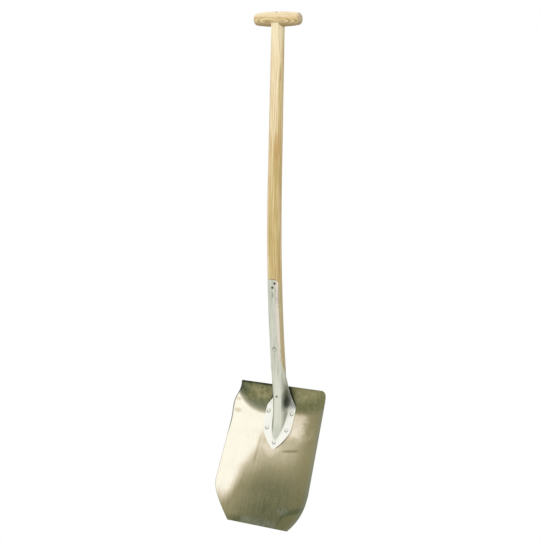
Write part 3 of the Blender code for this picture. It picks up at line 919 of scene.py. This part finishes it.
def ash(finish, colours, place, rings, wander, drifting, contrast, gold):
    """Ash: growth layers cut by the surface, straight fibres and pores, pale to golden wood.

    The place is the distance across the grain, the one into it and the one along it.
    """
    across, deep, along = place
    drift = finish.streaks(place, (14, 14, wander))
    waver = finish.streaks(place, (60, 60, wander * 4))
    ring = ((rings + drift * drifting + waver * 0.002) * RINGS_PER_METRE).fraction()
    late = ring.between(0.3, 0.9, 0.93, 1.0)
    grain = (across + drift * 0.010 + waver * 0.006, deep, along)
    fibre = finish.streaks(grain, (330, 330, 9), 3.0, 0.6)
    board = finish.streaks(grain, (150, 150, 5), 2.0, 0.6)
    pore = finish.streaks(grain, (2600, 2600, 60), 2.0, 0.6).step(0.06, 0.25)
    blush = finish.streaks((*grain[:2], along + 0.875), (170, 170, 8)).step(0.02, 0.18)
    gold = (gold + fibre * 2.2 + board * 2.2).clip(1.4)
    wood = finish.mix(gold.least(1.0), colours.ash_pale, colours.ash_golden)
    wood = finish.mix((gold - 0.95).most(0.0) * 1.1, wood, colours.ash_grain)
    wood = finish.mix(blush * 0.5, wood, colours.ash_blush)
    wood = finish.mix(late * (fibre * 1.4 + contrast), wood, colours.ash_grain)
    wood = finish.mix(pore * 0.22, wood, dim(colours.ash_grain, 0.62))
    return wood, late * 0.4 - pore * 0.6 + fibre * 0.5, fibre


def shaft_finish(scene):
    """Ash whose grain follows the pole's bend: pale on its left at the top, golden lower down."""
    finish = Finish("ash_shaft")
    form = ShaftForm(scene)
    back = finish.y - form.y(finish.z)
    across = finish.x * GRAIN_COS + back * GRAIN_SIN
    deep = finish.x * GRAIN_SIN - back * GRAIN_COS
    depth = (-finish.z).most(0.0)
    sway = finish.streaks((3.0, 1.0, finish.z), (1, 1, 7))
    border = (0.90 - depth * 4.0 + sway * 0.9).most(-0.75)
    gold = (across * (2 / form.size.diameter) - border).step(-0.35, 0.4)
    gold = gold * (0.58 + depth.step(0.0, 0.4) * 0.22) + depth.step(0.0, 0.35) * 0.14
    rings = across * 0.45 + deep * 0.75
    place = (across, deep, finish.z)
    wood, relief, fibre = ash(finish, scene.shovel_colours, place, rings, 2.2, 0.014, 0.4, gold)
    amber = finish.spot(across, depth, (0.003, 0.300), (0.010, 0.050))
    wood = finish.coats(
        wood,
        (depth.fade(0.015, 0.09) * 0.35, 250, 240, 206),
        ((amber * (0.8 + fibre * 2.4).most(0.0)).least(0.7), 190, 152, 96),
        ((depth + form.strap_end).step(0.0, 0.02) * 0.5, 182, 175, 138),
    )
    return finish.surface(wood, 0.55 + fibre * 0.12, relief, GRAIN_RELIEF, 0.6)


def grip_finish(scene):
    """Ash whose growth layers face forward and down, so that the bar shows them as long ovals."""
    finish = Finish("ash_grip")
    x, y, up = finish.x, finish.y, finish.z - scene.shovel_grip.axis_height
    bow = ((x + 0.030) * 114.0).cosine()
    rings = (y * -0.96 + up * -0.28 + bow * 0.0004) * 1.5
    # The share of gold grows downward: part of the painted shade on the bar's underside
    gold = rings * 16 - up * 16.0 + 0.02
    colours = scene.shovel_colours
    wood, relief, fibre = ash(finish, colours, (y, up, x), rings, 12.0, 0.006, 0.9, gold)
    # Painted shade: the underside darkens towards a dim grain colour
    wood = finish.mix((-up).step(-0.001, 0.018) * 0.72, wood, dim(colours.ash_grain, 0.55))
    half = scene.shovel_grip.bar_length / 2
    bruise = x.step(half - 0.007, half - 0.003) * up.step(0.008, 0.014)
    wood = finish.coats(
        wood,
        (x.size().step(half - 0.006, half - 0.0005) * 0.25, 140, 134, 104),
        # Painted highlight along the top of the bar
        (up.step(0.004, 0.018) * 0.5, 250, 236, 208),
        (bruise * 0.45, 112, 110, 96),
    )
    return finish.surface(wood, 0.52 + fibre * 0.12, relief, GRAIN_RELIEF, 0.6)


def wedge_finish(scene):
    finish = Finish("hardwood_wedge")
    fibre = finish.streaks((finish.x, finish.y, finish.z), (2400, 2400, 120), 3.0)
    base = scene.shovel_colours.hardwood
    wood = finish.mix(fibre.step(-0.2, 0.2), base, dim(base, 0.7))
    return finish.surface(wood, 0.6, fibre, 0.0001, 0.5)


def blade_reflection(finish, u, v, cloud):
    """Painted reflection on the blade's hollow side: how bright, from dark at 0 to bright at 1."""
    middle = 0.11 + v.step(0.03, 0.08) * 0.07 + v.step(0.09, 0.21) * 0.46
    tone = middle.blend(0.15 + v.step(0.03, 0.22) * 0.24, u.step(0.035, 0.12))
    tone = tone + u.fade(-0.09, 0.02) * v.fade(0.14, 0.19) * 0.17
    from_border = u + finish.curve(v * 2.7, REFLECTION_BORDER) * REFLECTION_REACH
    tone = tone.blend(0.42 + v.step(0.08, 0.20) * 0.30, from_border.fade(0.0, 0.06))
    tone = tone.most(finish.spot(u, v, (-0.008, 0.221), (0.062, 0.069)) * 0.80 + cloud * 0.3)
    tone = tone.blend(1.0, from_border.fade(-0.014, 0.020) * v.step(0.024, 0.090))
    glow = (u - 0.093 + (v - 0.262) * 0.6 + cloud * 0.14).fade(-0.030, 0.018)
    glow = glow * (v + cloud * 0.05).step(0.228, 0.262) * u.step(0.0, 0.02)
    tone = tone.blend(0.84 + cloud * 0.3, glow)
    tone = tone - v.fade(0.004, 0.026) * u.fade(-0.06, -0.03) * 0.16
    pressed = (u + 0.0433 + (0.236 - v) * 0.066).size().fade(0.0010, 0.0060)
    tone = tone - pressed * v.between(0.15, 0.18, 0.225, 0.25) * 0.14
    rubbed = (v - 0.202 - (u - 0.03) * 0.137).size().fade(0.001, 0.0055)
    return tone - rubbed * u.between(0.022, 0.038, 0.066, 0.086) * 0.2


def wall_reflection(finish, u, v, cloud, grime):
    """Painted reflection on the bent top: brighter on its right, dark at its left end and its rim.
    """
    tone = 0.12 + finish.spot(u, v, (-0.064, 0.349), (0.044, 0.022)) * 0.30
    tone = tone + cloud * 0.4 + grime * 0.5
    tone = tone + u.step(0.02, 0.05) * (v - (u - 0.07).most(0.0) * 0.5).step(0.320, 0.356) * 0.36
    return tone - u.fade(-0.130, -0.075) * 0.20 - v.step(0.364, 0.370) * 0.10


def shield_shadow(finish, u, drop):
    """Dark line beside the shield, strongest on its right, at drops below the blade's top."""
    points = [(fallen / 0.2, half / 0.05) for fallen, half in SHIELD_OUTLINE if fallen > 0]
    right = u.step(-0.004, 0.004)
    beside = u.size() - finish.curve(drop * 5, points) * 0.05 - 0.0024 + right * 0.0012
    strength = drop.fade(0.040, 0.062) * (0.75 + right * 0.15)
    strength = strength.most(right * drop.between(0.100, 0.125, 0.155, 0.163) * 0.65)
    shadow = beside.size().fade(0.0008, 0.0030) * strength
    return shadow.most(beside.fade(0.0, 0.018) * right * drop.fade(0.025, 0.055) * 0.25)


def blade_finish(scene):
    """Steel with painted reflection: bright on the left, dark at the edge and bent top; dull
    behind.
    """
    finish = Finish("blade_steel_worn_painted_reflection")
    form = BladeForm(scene)
    colours = scene.shovel_colours
    u, v = finish.x, up_the_blade(finish, form)
    brushed = finish.streaks((u, finish.y, v), (260, 40, 12), 3.0, 0.6)
    scratch = finish.streaks((u, finish.y, v), (900, 90, 30), 2.0, 0.6)
    cloud = finish.noise(26.0, 3.0, 0.55)
    grime = finish.noise(120.0, 4.0, 0.6)
    patch = finish.noise(95.0)

    # Painted reflection, from dark to bright
    side = (-u).most(u * 0.8)
    bent = (v - side**4 * 155.0 - 0.3025 - u.step(0.0, 0.03) * 0.006).step(-0.013, 0.013)
    flat = 1 - bent
    tone = blade_reflection(finish, u, v, cloud).blend(wall_reflection(finish, u, v, cloud, grime), bent)
    tone = tone + brushed * (0.10 + v.fade(0.08, 0.26) * 0.14)
    tone = tone + scratch * 0.06 + cloud * 0.12 + grime * 0.10
    stops = (
        (0.0, paint(70, 74, 52)),
        (0.15, colours.steel_reflection_olive),
        (0.42, paint(154, 146, 111)),
        (0.68, colours.steel_reflection_tan),
        (0.86, paint(237, 226, 203)),
        (1.0, colours.steel_reflection_bright),
    )

    # Bent top: mottling, painted shade in its dark left corner, and the line along the rim
    left = u.fade(-0.03, -0.01)
    amber = bent.most(u.step(0.07, 0.12) * 0.7) * tone.fade(0.45, 0.7)
    speck = finish.noise(260.0).step(0.10, 0.22) * tone.fade(0.6, 0.8)
    corner = finish.spot(u, v, (-0.134, 0.354), (0.034, 0.032)) * bent
    corner = corner * (0.8 + grime * 4 + patch * 2).most(0.0)
    brim = v.step(0.3665, 0.3690) * (0.16 + left * 0.62) * (1 - u.step(0.05, 0.07) * 0.6)
    brim = brim + v.step(0.3650, 0.3680) * u.fade(-0.115, -0.080) * 0.22
    green = (cloud + grime * 0.6).step(0.02, 0.2) * v.step(0.06, 0.12) * tone.fade(0.45, 0.65)

    # Lower right corner: painted shade past and along the crease where the side turns up,
    # and worn or smudged places
    crease = v - 0.040 - (u - 0.071) * 0.36 + (0.071 - u).most(0.0) * 1.7 + cloud * 0.012
    turned = u.step(0.050, 0.066)
    worn = v.fade(0.012, 0.024) * (u.size() - 0.048).fade(0.0, 0.012)
    smudge = finish.spot(u, v, (0.066, 0.048), (0.022, 0.013)) * (0.3 + grime * 3 + cloud).most(0.0)
    upper_stain = finish.spot(u, v, (-0.126, 0.322), (0.010, 0.006))
    lower_stain = finish.spot(u, v, (-0.122, 0.291), (0.013, 0.008))

    # Rims: painted shade along the sheet's edge all round, darker high on the left; grey inside the
    # right edge
    outline = form.side(v) + form.left_swell(v) * u.fade(0.0, 0.01)
    past = u.size() - outline
    rim = past.step(-0.0022, -0.0006).most(v.fade(0.0006, 0.0018))
    high = u.fade(0.0, 0.01) * v.step(0.21, 0.26) * past.step(-0.0036, -0.0014)

    steel = finish.coats(
        finish.ramp(tone, stops),
        (amber * 0.3, 134, 123, 76),
        (speck * 0.25, 188, 180, 152),
        # Painted reflection on the bent top: greener and darker
        (bent * 0.30, 138, 146, 104),
        ((patch * 6).clip() * bent * (0.15 + left * 0.30), 92, 88, 52),
        ((patch * -6).clip() * bent * (0.12 + left * 0.18), 168, 164, 126),
        # Painted highlight along the fold between the flat and the bent top, on the left
        (flat * bent * left * 2.0, 170, 168, 150),
        (bent * left * v.fade(0.316, 0.336) * 0.6, 122, 126, 106),
        # Painted shade in the bent top's left corner, mottled
        (corner.least(0.8), 62, 72, 60),
        (brim.least(1.0), 44, 45, 28),
        (green * 0.3, 118, 126, 96),
        (shield_shadow(finish, u, -finish.z - form.size.top_depth), 34, 36, 24),
        # Painted shade on the turned-up side past the crease, and darker along the crease
        (crease.fade(-0.012, -0.004) * turned * 0.6, 116, 113, 76),
        (crease.size().fade(0.002, 0.011) * turned * 0.75, 82, 89, 62),
        (worn * (0.45 + grime * 1.6).clip(), 126, 130, 114),
        (smudge.least(0.3), 128, 134, 122),
        (upper_stain * 0.45, 196, 170, 126),
        (lower_stain * 0.45, 196, 170, 126),
        # Painted shade along the sheet's edge, darker high on the left
        (rim * 0.5, 120, 116, 92),
        (high * 0.8, 92, 92, 78),
        ((u - outline).step(-0.016, -0.004) * flat * 0.4, 133, 141, 130),
    )
    dull = finish.ramp(0.36 + brushed * 0.3 + cloud * 0.35 + scratch * 0.1, stops)
    front = finish.facing[1] * form.out.y + finish.facing[2] * form.out.z
    steel = finish.mix(front.step(-0.3, 0.3), dull, steel)
    roughness = 0.42 + brushed * 0.2 - cloud * 0.1
    relief = brushed + cloud * 0.5 + scratch * 0.3
    return finish.surface(steel, roughness, relief, STEEL_RELIEF, 0.35, metallic=0.9)


def strap_finish(scene):
    """Galvanised sheet: streaked on tongue and ridge, hammered and painted brighter as lit on the
    shield.
    """
    finish = Finish("strap_steel_galvanised")
    form = StrapForm(scene)
    x, height = finish.x, finish.z - form.top_edge
    v = up_the_blade(finish, form.blade)
    back = finish.y - form.shaft.y(finish.z)
    streak = finish.streaks((x, back, finish.z), (460, 120, 11), 3.0, 0.6)
    cloud = finish.noise(60.0, 3.0)
    grit = finish.noise(900.0, 3.0, 0.6)
    hammered = {"Vector": finish.place, "Scale": 380.0}
    dent = finish.node("ShaderNodeTexVoronoi", {"feature": "SMOOTH_F1"}, hammered)

    # Front against back, and shield against tongue and ridge
    front = finish.facing[1].fade(-0.2, 0.2)
    beyond = (x * x + back * back) ** 0.5 - form.radius - form.sheet
    shield = beyond.step(0.0006, 0.0030) * height.fade(-0.03, 0.0)
    shield = height.fade(-0.08, -0.04).blend(shield, front)
    ridge = (1 - shield) * front

    # Streaks and smudges of the tongue and the ridge, with painted light and shade on them
    mottle = (0.42 + streak * 2.1 + cloud * 0.6).clip()
    # Painted highlight: a cream band on the tongue's right side
    cream_highlight = x.between(0.0085, 0.0125, 0.0155, 0.0180) * height.step(0.05, 0.11)
    # Painted light: the front of the ridge and lower tongue is lighter, except on its right
    low = height.fade(-0.01, 0.09) * x.fade(0.0090, 0.0140) * front
    smear = (cloud * 0.35 - streak).step(0.10, 0.22) * height.step(0.0, 0.06)
    smudge = finish.spot(x, height, (0.0033, 0.2540), (0.0032, 0.0110)) * front
    # Painted shade on the ridge's flanks, and more on its left side, which turns away from the
    # light
    flank_shade = x.size().step(0.0125, 0.0170) * height.fade(0.0, 0.05) * ridge
    turned = (-x).step(0.0095, 0.0140) * height.fade(-0.03, 0.01) * ridge
    strap = scene.shovel_colours.strap
    steel = finish.coats(
        finish.mix(mottle, dim(strap, 0.82), paint(232, 232, 216)),
        (cream_highlight * 0.75, 236, 224, 208),
        (low * 0.5, 232, 234, 218),
        (smear * 0.6, 132, 134, 118),
        (smudge * 0.5, 112, 120, 98),
        (flank_shade * 0.45, 150, 152, 136),
        (turned * 0.75, 128, 130, 116),
        (height.fade(-0.12, -0.09) * ridge * 0.3, 170, 174, 160),
    )
    # Painted light: the shield is painted near white, a lit copy of the strap's steel, over
    # hammered dents
    lit_plate = finish.coats(
        (1.0, 0.99, 0.91),
        ((dent * 2.2).least(1.0) * 0.12, 186, 188, 178),
        ((cloud * 3 + 0.5).clip() * height.step(-0.070, -0.035) * 0.5, 190, 194, 182),
    )

    # Shadows beside the ridge and under its fold, and round the rivets
    hollow = finish.spot(x, height - x * 1.2, (0.0180, -0.056), (0.0130, 0.032))
    pit = finish.spot(back, height, (0.001, -0.041), (0.015, 0.021)) * x.step(0.008, 0.015)
    steel = finish.coats(
        finish.mix(shield, steel, lit_plate),
        (hollow * x.step(0.0095, 0.0145) * front * 0.75, 100, 108, 94),
        (pit.least(0.8) * front, 50, 62, 50),
    )
    for side, drop in FLANGE_RIVETS.values():
        place = (side - 0.0009, form.blade.size.height - drop - 0.0020)
        ring = finish.spot(x, v, place, (0.0070, 0.0066))
        steel = finish.coats(steel, ((ring * 2).least(0.6), 118, 120, 108))
    ring = finish.spot(x, height, (0.0015, STRAP_RIVET_HEIGHT + 0.001), (0.0075, 0.0085))
    steel = finish.coats(steel, ((ring * 1.4).least(0.45) * back.fade(0.0, 0.01), 120, 122, 112))
    roughness = 0.5 + grit * 0.2 + cloud * 0.2
    relief = dent * shield * 0.8 + grit * 0.3 + streak * 0.3
    return finish.surface(steel, roughness, relief, STEEL_RELIEF, 0.5, metallic=0.75)


def rivet_finish(name, base):
    """Steel heads, lightly marked by the hammer."""
    finish = Finish(name)
    mark = finish.noise(600.0, 3.0)
    steel = finish.mix(0.5 + mark * 1.4, dim(base, 0.85), base)
    return finish.surface(steel, 0.38 + mark * 0.3, mark, STEEL_RELIEF, 0.5, metallic=0.9)


# Operators


class SHOVEL_OT_shaft(bpy.types.Operator):
    """Bent ash shaft: seated foot, shoulder cut to the grip, round tenon split for its wedge"""

    bl_idname = "shovel.shaft"
    bl_label = "Shaft"

    def execute(self, context):
        scene = context.scene
        grip = scene.shovel_grip
        form = self.form = ShaftForm(scene)
        ramp_start, ramp_end = form.strap_end - 0.002, form.strap_end + 2 * STRAP_RECESS_RAMP
        heights = spread(
            (form.end, -form.foot_start, 24),
            (-form.foot_start, ramp_start, 30),
            (ramp_start, ramp_end, 10),
            (ramp_end, 0.0, 60),
            (0.0, SHAFT_SHOULDER_RISE, 3),
        )
        stations = [(Vector((0, form.y(z), z)), form.radius(z)) for z in heights]
        shaft = draw_out("shaft_piece", stations, POLE_SIDES)
        self.grow(shaft, self.shoulder)
        self.straps, self.bare = StrapForm(scene), {}
        self.grow(shaft, self.groove)
        seat_top = -scene.shovel_blade.top_depth + 2 * GAP
        cut(shaft, behind_blade(BladeForm(scene), seat_top, form.end - 2 * SEAT_DEPTH))
        cut(shaft, bar_tool(grip, GAP))
        cut(shaft, self.tenon(grip), "UNION")
        cut(shaft, wedge_block("wedge_slot", grip, GAP, TENON_DIAMETER + WEDGE_SLOT_SURPLUS))
        dress(shaft, shaft_finish(scene), "shaft")
        return {"FINISHED"}

    def tenon(self, grip):
        """Round tenon whose end follows the bar.

        It is turned by half a facet: a corner of it on the shoulder's middle edge would leave the
        join a few points more or fewer from run to run.
        """
        half, middle = TENON_DIAMETER / 2, grip.axis_height
        tenon = turn_up("tenon", [(half, -TENON_ROOT), (half, 2 * middle)], TENON_SIDES)
        tenon.data.transform(Matrix.Rotation(math.pi / TENON_SIDES, 4, "Z"))
        trimmer = bar_tool(grip, -GAP)
        for vertex in trimmer.data.vertices:
            if vertex.co.z < middle - GAP:
                vertex.co.z -= 2 * middle
        cut(tenon, trimmer, "INTERSECT")
        return tenon

    def grow(self, shaft, growth):
        """Thickens the pole from its centre line, by its height and its turn from the front."""
        for vertex in shaft.data.vertices:
            point = vertex.co
            centre = self.form.y(point.z)
            grown = growth(point.z, math.atan2(abs(point.x), centre - point.y))
            point.x *= grown
            point.y = centre + (point.y - centre) * grown

    def shoulder(self, z, turn):
        """Leaves a flat on the pole's front under the bar, so that its shoulder is straight."""
        from_flat = min(turn, 2 * SHOULDER_FLAT_TURN - turn)
        share = smooth_step(SHOULDER_FLAT_START, SHOULDER_FLAT_END, z)
        return 1 + (1 / math.cos(from_flat) - 1) * share if from_flat > 0 else 1

    def groove(self, z, turn):
        """Lets the straps into the pole: the wood beside them keeps the pole's full thickness."""
        height = round(z - self.straps.top_edge, 5)
        if not 0 < height < self.straps.length + 2 * STRAP_RECESS_RAMP:
            return 1
        if height not in self.bare:
            self.bare[height] = self.straps.bare_wood(height)
        low, high = self.bare[height]
        share = smooth_step(low + GROOVE_START, low + GROOVE_END, turn)
        share *= smooth_step(GROOVE_START - high, GROOVE_END - high, -turn)
        share *= smooth_step(WRAP_END, WRAP_START, height)
        return 1 + self.form.recess(z) * share / self.form.radius(z)


class SHOVEL_OT_grip(bpy.types.Operator):
    """Turned ash bar with its bore, and the hardwood wedge in the tenon's end"""

    bl_idname = "shovel.grip"
    bl_label = "T grip"

    def execute(self, context):
        scene = context.scene
        size = scene.shovel_grip
        half = size.bar_length / 2
        corner = half - size.end_rounding
        right = spread((0.0, corner, 20))
        right += round_corner(corner, size.end_rounding)
        ends = [-x for x in reversed(right[1:])] + right
        bar = turn_up("grip_piece", [(grip_radius(size, x), x) for x in ends], GRIP_SIDES)
        lay_along(bar, Vector((0, 0, size.axis_height)), Vector((1, 0, 0)))
        bore = TENON_DIAMETER / 2 + GAP
        reach = 2 * size.axis_height
        cut(bar, turn_up("tenon_bore", [(bore, -reach), (bore, 2 * reach)], TENON_SIDES))
        dress(bar, grip_finish(scene), "grip")
        wedge = wedge_block("grip_wedge_piece", size, 0.0, WEDGE_WIDTH)
        cut(wedge, bar_tool(size, -GAP), "INTERSECT")
        dress(wedge, wedge_finish(scene), "grip_wedge")
        return {"FINISHED"}


class SHOVEL_OT_blade(bpy.types.Operator):
    """Blade pressed from one sheet: raised sides, bent top, rounded corners"""

    bl_idname = "shovel.blade"
    bl_label = "Blade"

    def execute(self, context):
        scene = context.scene
        form = BladeForm(scene)
        size = scene.shovel_blade
        bend = size.height - 3 * size.wall_rise / math.tan(size.wall_angle)
        corner = size.height - TOP_CORNER_RADIUS
        lower = size.corner_length
        levels = spread((0.0, lower, 24), (lower, bend, 24), (bend, corner, 30))
        levels += round_corner(corner, TOP_CORNER_RADIUS)
        rows = []
        for v in reversed(levels):
            left, right = form.left_half_width(v), form.half_width(v)
            across = spread((-left, 0.0, BLADE_COLUMNS), (0.0, right, BLADE_COLUMNS))
            rows.append([form.point(u, v) for u in across])
        blade = press_sheet("blade_piece", rows, size.sheet, -1, BLADE_EASING)
        dress(blade, blade_finish(scene), "blade")
        return {"FINISHED"}


class SHOVEL_OT_straps(bpy.types.Operator):
    """Front strap with its socket and shield, and the back strap that answers it"""

    bl_idname = "shovel.straps"
    bl_label = "Straps"

    def execute(self, context):
        scene = context.scene
        form = StrapForm(scene)
        tip = -SHIELD_OUTLINE[-1][0]
        finish = strap_finish(scene)
        heights = spread(
            (form.length, form.length - TONGUE_ROUNDING, 12),
            (form.length - TONGUE_ROUNDING, WRAP_START, 24),
            (WRAP_START, WRAP_END, 16),
            (WRAP_END, tip, 56),
        )
        fronts = [form.front_row(height) for height in heights]
        backs = [form.back_row(height, BACK_STRAP_COLUMNS) for height in heights]
        for node, rows in (("front_strap", fronts), ("back_strap", backs)):
            strap = press_sheet(node + "_piece", rows, form.sheet, 1, STRAP_EASING)
            dress(strap, finish, node)
        return {"FINISHED"}


class SHOVEL_OT_rivets(bpy.types.Operator):
    """Five rivets through shields and blade, and one through the tongues and the shaft"""

    bl_idname = "shovel.rivets"
    bl_label = "Rivets"

    def execute(self, context):
        scene = context.scene
        form = StrapForm(scene)
        finish = rivet_finish("rivet_steel_heads", scene.shovel_colours.rivet)
        stack = self.profile(scene, form.blade_sheet + 2 * form.sheet + 4 * GAP)
        for node, (u, drop) in FLANGE_RIVETS.items():
            v = form.blade.size.height - drop
            outward = form.blade.normal(u, v)
            seat = form.blade.point(u, v) + outward * (form.sheet + GAP)
            fasten(stack, node, seat, outward, finish)
        seat, outward = form.outer_face(STRAP_RIVET_HEIGHT, STRAP_RIVET_TURN, -1)
        reach = form.shaft.radius(form.top_edge + STRAP_RIVET_HEIGHT) + GAP + form.sheet
        dull = rivet_finish("strap_rivet_steel", scene.shovel_colours.strap)
        fasten(self.profile(scene, 2 * reach + GAP), "strap_rivet", seat, outward, dull)
        return {"FINISHED"}

    def profile(self, scene, length):
        """Rivet along Z, its head's underside just over its seat at Z = 0."""
        radius = scene.shovel_straps.rivet_head / 2
        tail = dome(radius, RIVET_HEAD_HEIGHT, -length, -1)
        shank = [(RIVET_SHANK / 2, -length), (RIVET_SHANK / 2, GAP)]
        head = dome(radius, RIVET_HEAD_HEIGHT, GAP, 1)
        return tail[::-1] + [(radius, -length)] + shank + [(radius, GAP)] + head


class SHOVEL_OT_nails(bpy.types.Operator):
    """Nails of the tongues' ends, of the socket and of the grip"""

    bl_idname = "shovel.nails"
    bl_label = "Nails"

    def execute(self, context):
        scene = context.scene
        form = StrapForm(scene)
        finish = rivet_finish("nail_steel_heads", scene.shovel_colours.nail)
        nail = self.profile(scene, NAIL_LENGTH)
        for node, place in TONGUE_NAILS.items():
            fasten(nail, node, *form.outer_face(*place), finish)
        rubbed = rivet_finish("socket_nail_steel", scene.shovel_colours.rubbed_nail)
        seat, outward = form.outer_face(-SOCKET_NAIL_DEPTH, 0.0, -1)
        fasten(nail, "socket_nail", seat, outward, rubbed)
        size = scene.shovel_grip
        seat = Vector((GRIP_NAIL_OFFSET, grip_radius(size, GRIP_NAIL_OFFSET), size.axis_height))
        locking = self.profile(scene, GRIP_NAIL_LENGTH)
        fasten(locking, "grip_nail", seat, Vector((0, 1, 0)), finish)
        return {"FINISHED"}

    def profile(self, scene, length):
        """Nail along Z, its head's underside just over its seat at Z = 0."""
        radius = scene.shovel_straps.nail_head / 2
        shank = NAIL_SHANK / 2
        point = (shank * NAIL_POINT_SHARE, -length - NAIL_SHANK)
        head = dome(radius, NAIL_HEAD_HEIGHT, GAP, 1)
        return [point, (shank, -length), (shank, GAP), (radius, GAP)] + head


class SHOVEL_OT_stage(bpy.types.Operator):
    """Pale floor, white surroundings, soft lamps and the camera"""

    bl_idname = "shovel.stage"
    bl_label = "Stage"

    def execute(self, context):
        self.floor()
        self.world(context.scene)
        for lamp in LAMPS:
            self.lamp(context.scene, *lamp)
        self.camera(context.scene)
        return {"FINISHED"}

    def floor(self):
        """Pale floor that keeps the shadow near the object and fades to white away from it."""
        put_down()
        place = (0, 0, FLOOR_HEIGHT)
        bpy.ops.mesh.primitive_grid_add(
            x_subdivisions=2, y_subdivisions=2, size=FLOOR_SIZE, location=place
        )
        floor = bpy.context.object
        floor.name = "floor"
        finish = Finish("floor_pale")
        finish.feed(finish.shader.inputs["Base Color"], paint(244, 244, 244))
        finish.feed(finish.shader.inputs["Roughness"], 0.8)
        white = finish.node("ShaderNodeEmission", {}, {"Color": (1, 1, 1), "Strength": 1.0})
        away = ((finish.x * finish.x + finish.y * finish.y) ** 0.5).step(*FLOOR_FADE)
        camera, mirrors = finish.rays()
        seen = mirrors.most(camera * (FLOOR_WHITE + away * (1 - FLOOR_WHITE)))
        lit = Shade(finish, finish.shader.outputs[0])
        mixed = finish.node("ShaderNodeMixShader", {}, {0: seen, 1: lit, 2: white})
        finish.feed(finish.tree.nodes["Material Output"].inputs[0], mixed)
        floor.data.materials.append(finish.material)
        fix_place(floor)

    def world(self, scene):
        """Even light on the object, and white where the camera or a mirror looks past it."""
        world = scene.world = bpy.data.worlds.new("studio")
        world.use_nodes = True
        around = Nodes(world.node_tree)
        camera, mirrors = around.rays()
        strength = mirrors.most(camera) * (1 - WORLD_LIGHT) + WORLD_LIGHT
        back = around.tree.nodes["Background"]
        around.feed(back.inputs["Color"], (1.0, 1.0, 1.0))
        around.feed(back.inputs["Strength"], strength)

    def lamp(self, scene, name, place, size, power):
        light = bpy.data.lights.new(name, "AREA")
        light.shape = "DISK"
        light.size = size
        light.energy = power
        lamp = bpy.data.objects.new(name, light)
        scene.collection.objects.link(lamp)
        lamp.visible_glossy = False
        lamp.location = place
        lamp.rotation_euler = (LAMP_TARGET - lamp.location).to_track_quat("-Z", "Y").to_euler()

    def camera(self, scene):
        data = bpy.data.cameras.new("camera")
        data.lens = CAMERA_LENS
        data.sensor_width = CAMERA_SENSOR
        camera = bpy.data.objects.new("camera", data)
        scene.collection.objects.link(camera)
        camera.location = CAMERA_PLACE
        camera.rotation_euler = CAMERA_TURN
        scene.camera = camera
        scene.view_settings.view_transform = "Standard"


class SHOVEL_PT_build(bpy.types.Panel):
    """Steps of the shovel, in order"""

    bl_idname = "SHOVEL_PT_build"
    bl_label = "Construction shovel"
    bl_space_type = "VIEW_3D"
    bl_region_type = "UI"
    bl_category = "Shovel"

    def draw(self, context):
        for step in STEPS:
            self.layout.operator(step.bl_idname)
        for name in SETTINGS:
            box = self.layout.box()
            group = getattr(context.scene, name)
            for entry in group.bl_rna.properties:
                if entry.identifier not in ("rna_type", "name"):
                    box.prop(group, entry.identifier)


STEPS = (
    SHOVEL_OT_shaft,
    SHOVEL_OT_grip,
    SHOVEL_OT_blade,
    SHOVEL_OT_straps,
    SHOVEL_OT_rivets,
    SHOVEL_OT_nails,
    SHOVEL_OT_stage,
)


def register():
    for name, group in SETTINGS.items():
        bpy.utils.register_class(group)
        setattr(bpy.types.Scene, name, bpy.props.PointerProperty(type=group))
    for made in (*STEPS, SHOVEL_PT_build):
        bpy.utils.register_class(made)


def unregister():
    for made in (SHOVEL_PT_build, *reversed(STEPS)):
        bpy.utils.unregister_class(made)
    for name, group in reversed(SETTINGS.items()):
        delattr(bpy.types.Scene, name)
        bpy.utils.unregister_class(group)


def main():
    register()
    bpy.ops.shovel.shaft()
    bpy.ops.shovel.grip()
    bpy.ops.shovel.blade()
    bpy.ops.shovel.straps()
    bpy.ops.shovel.rivets()
    bpy.ops.shovel.nails()
    bpy.ops.shovel.stage()


if __name__ == "__main__":
    main()
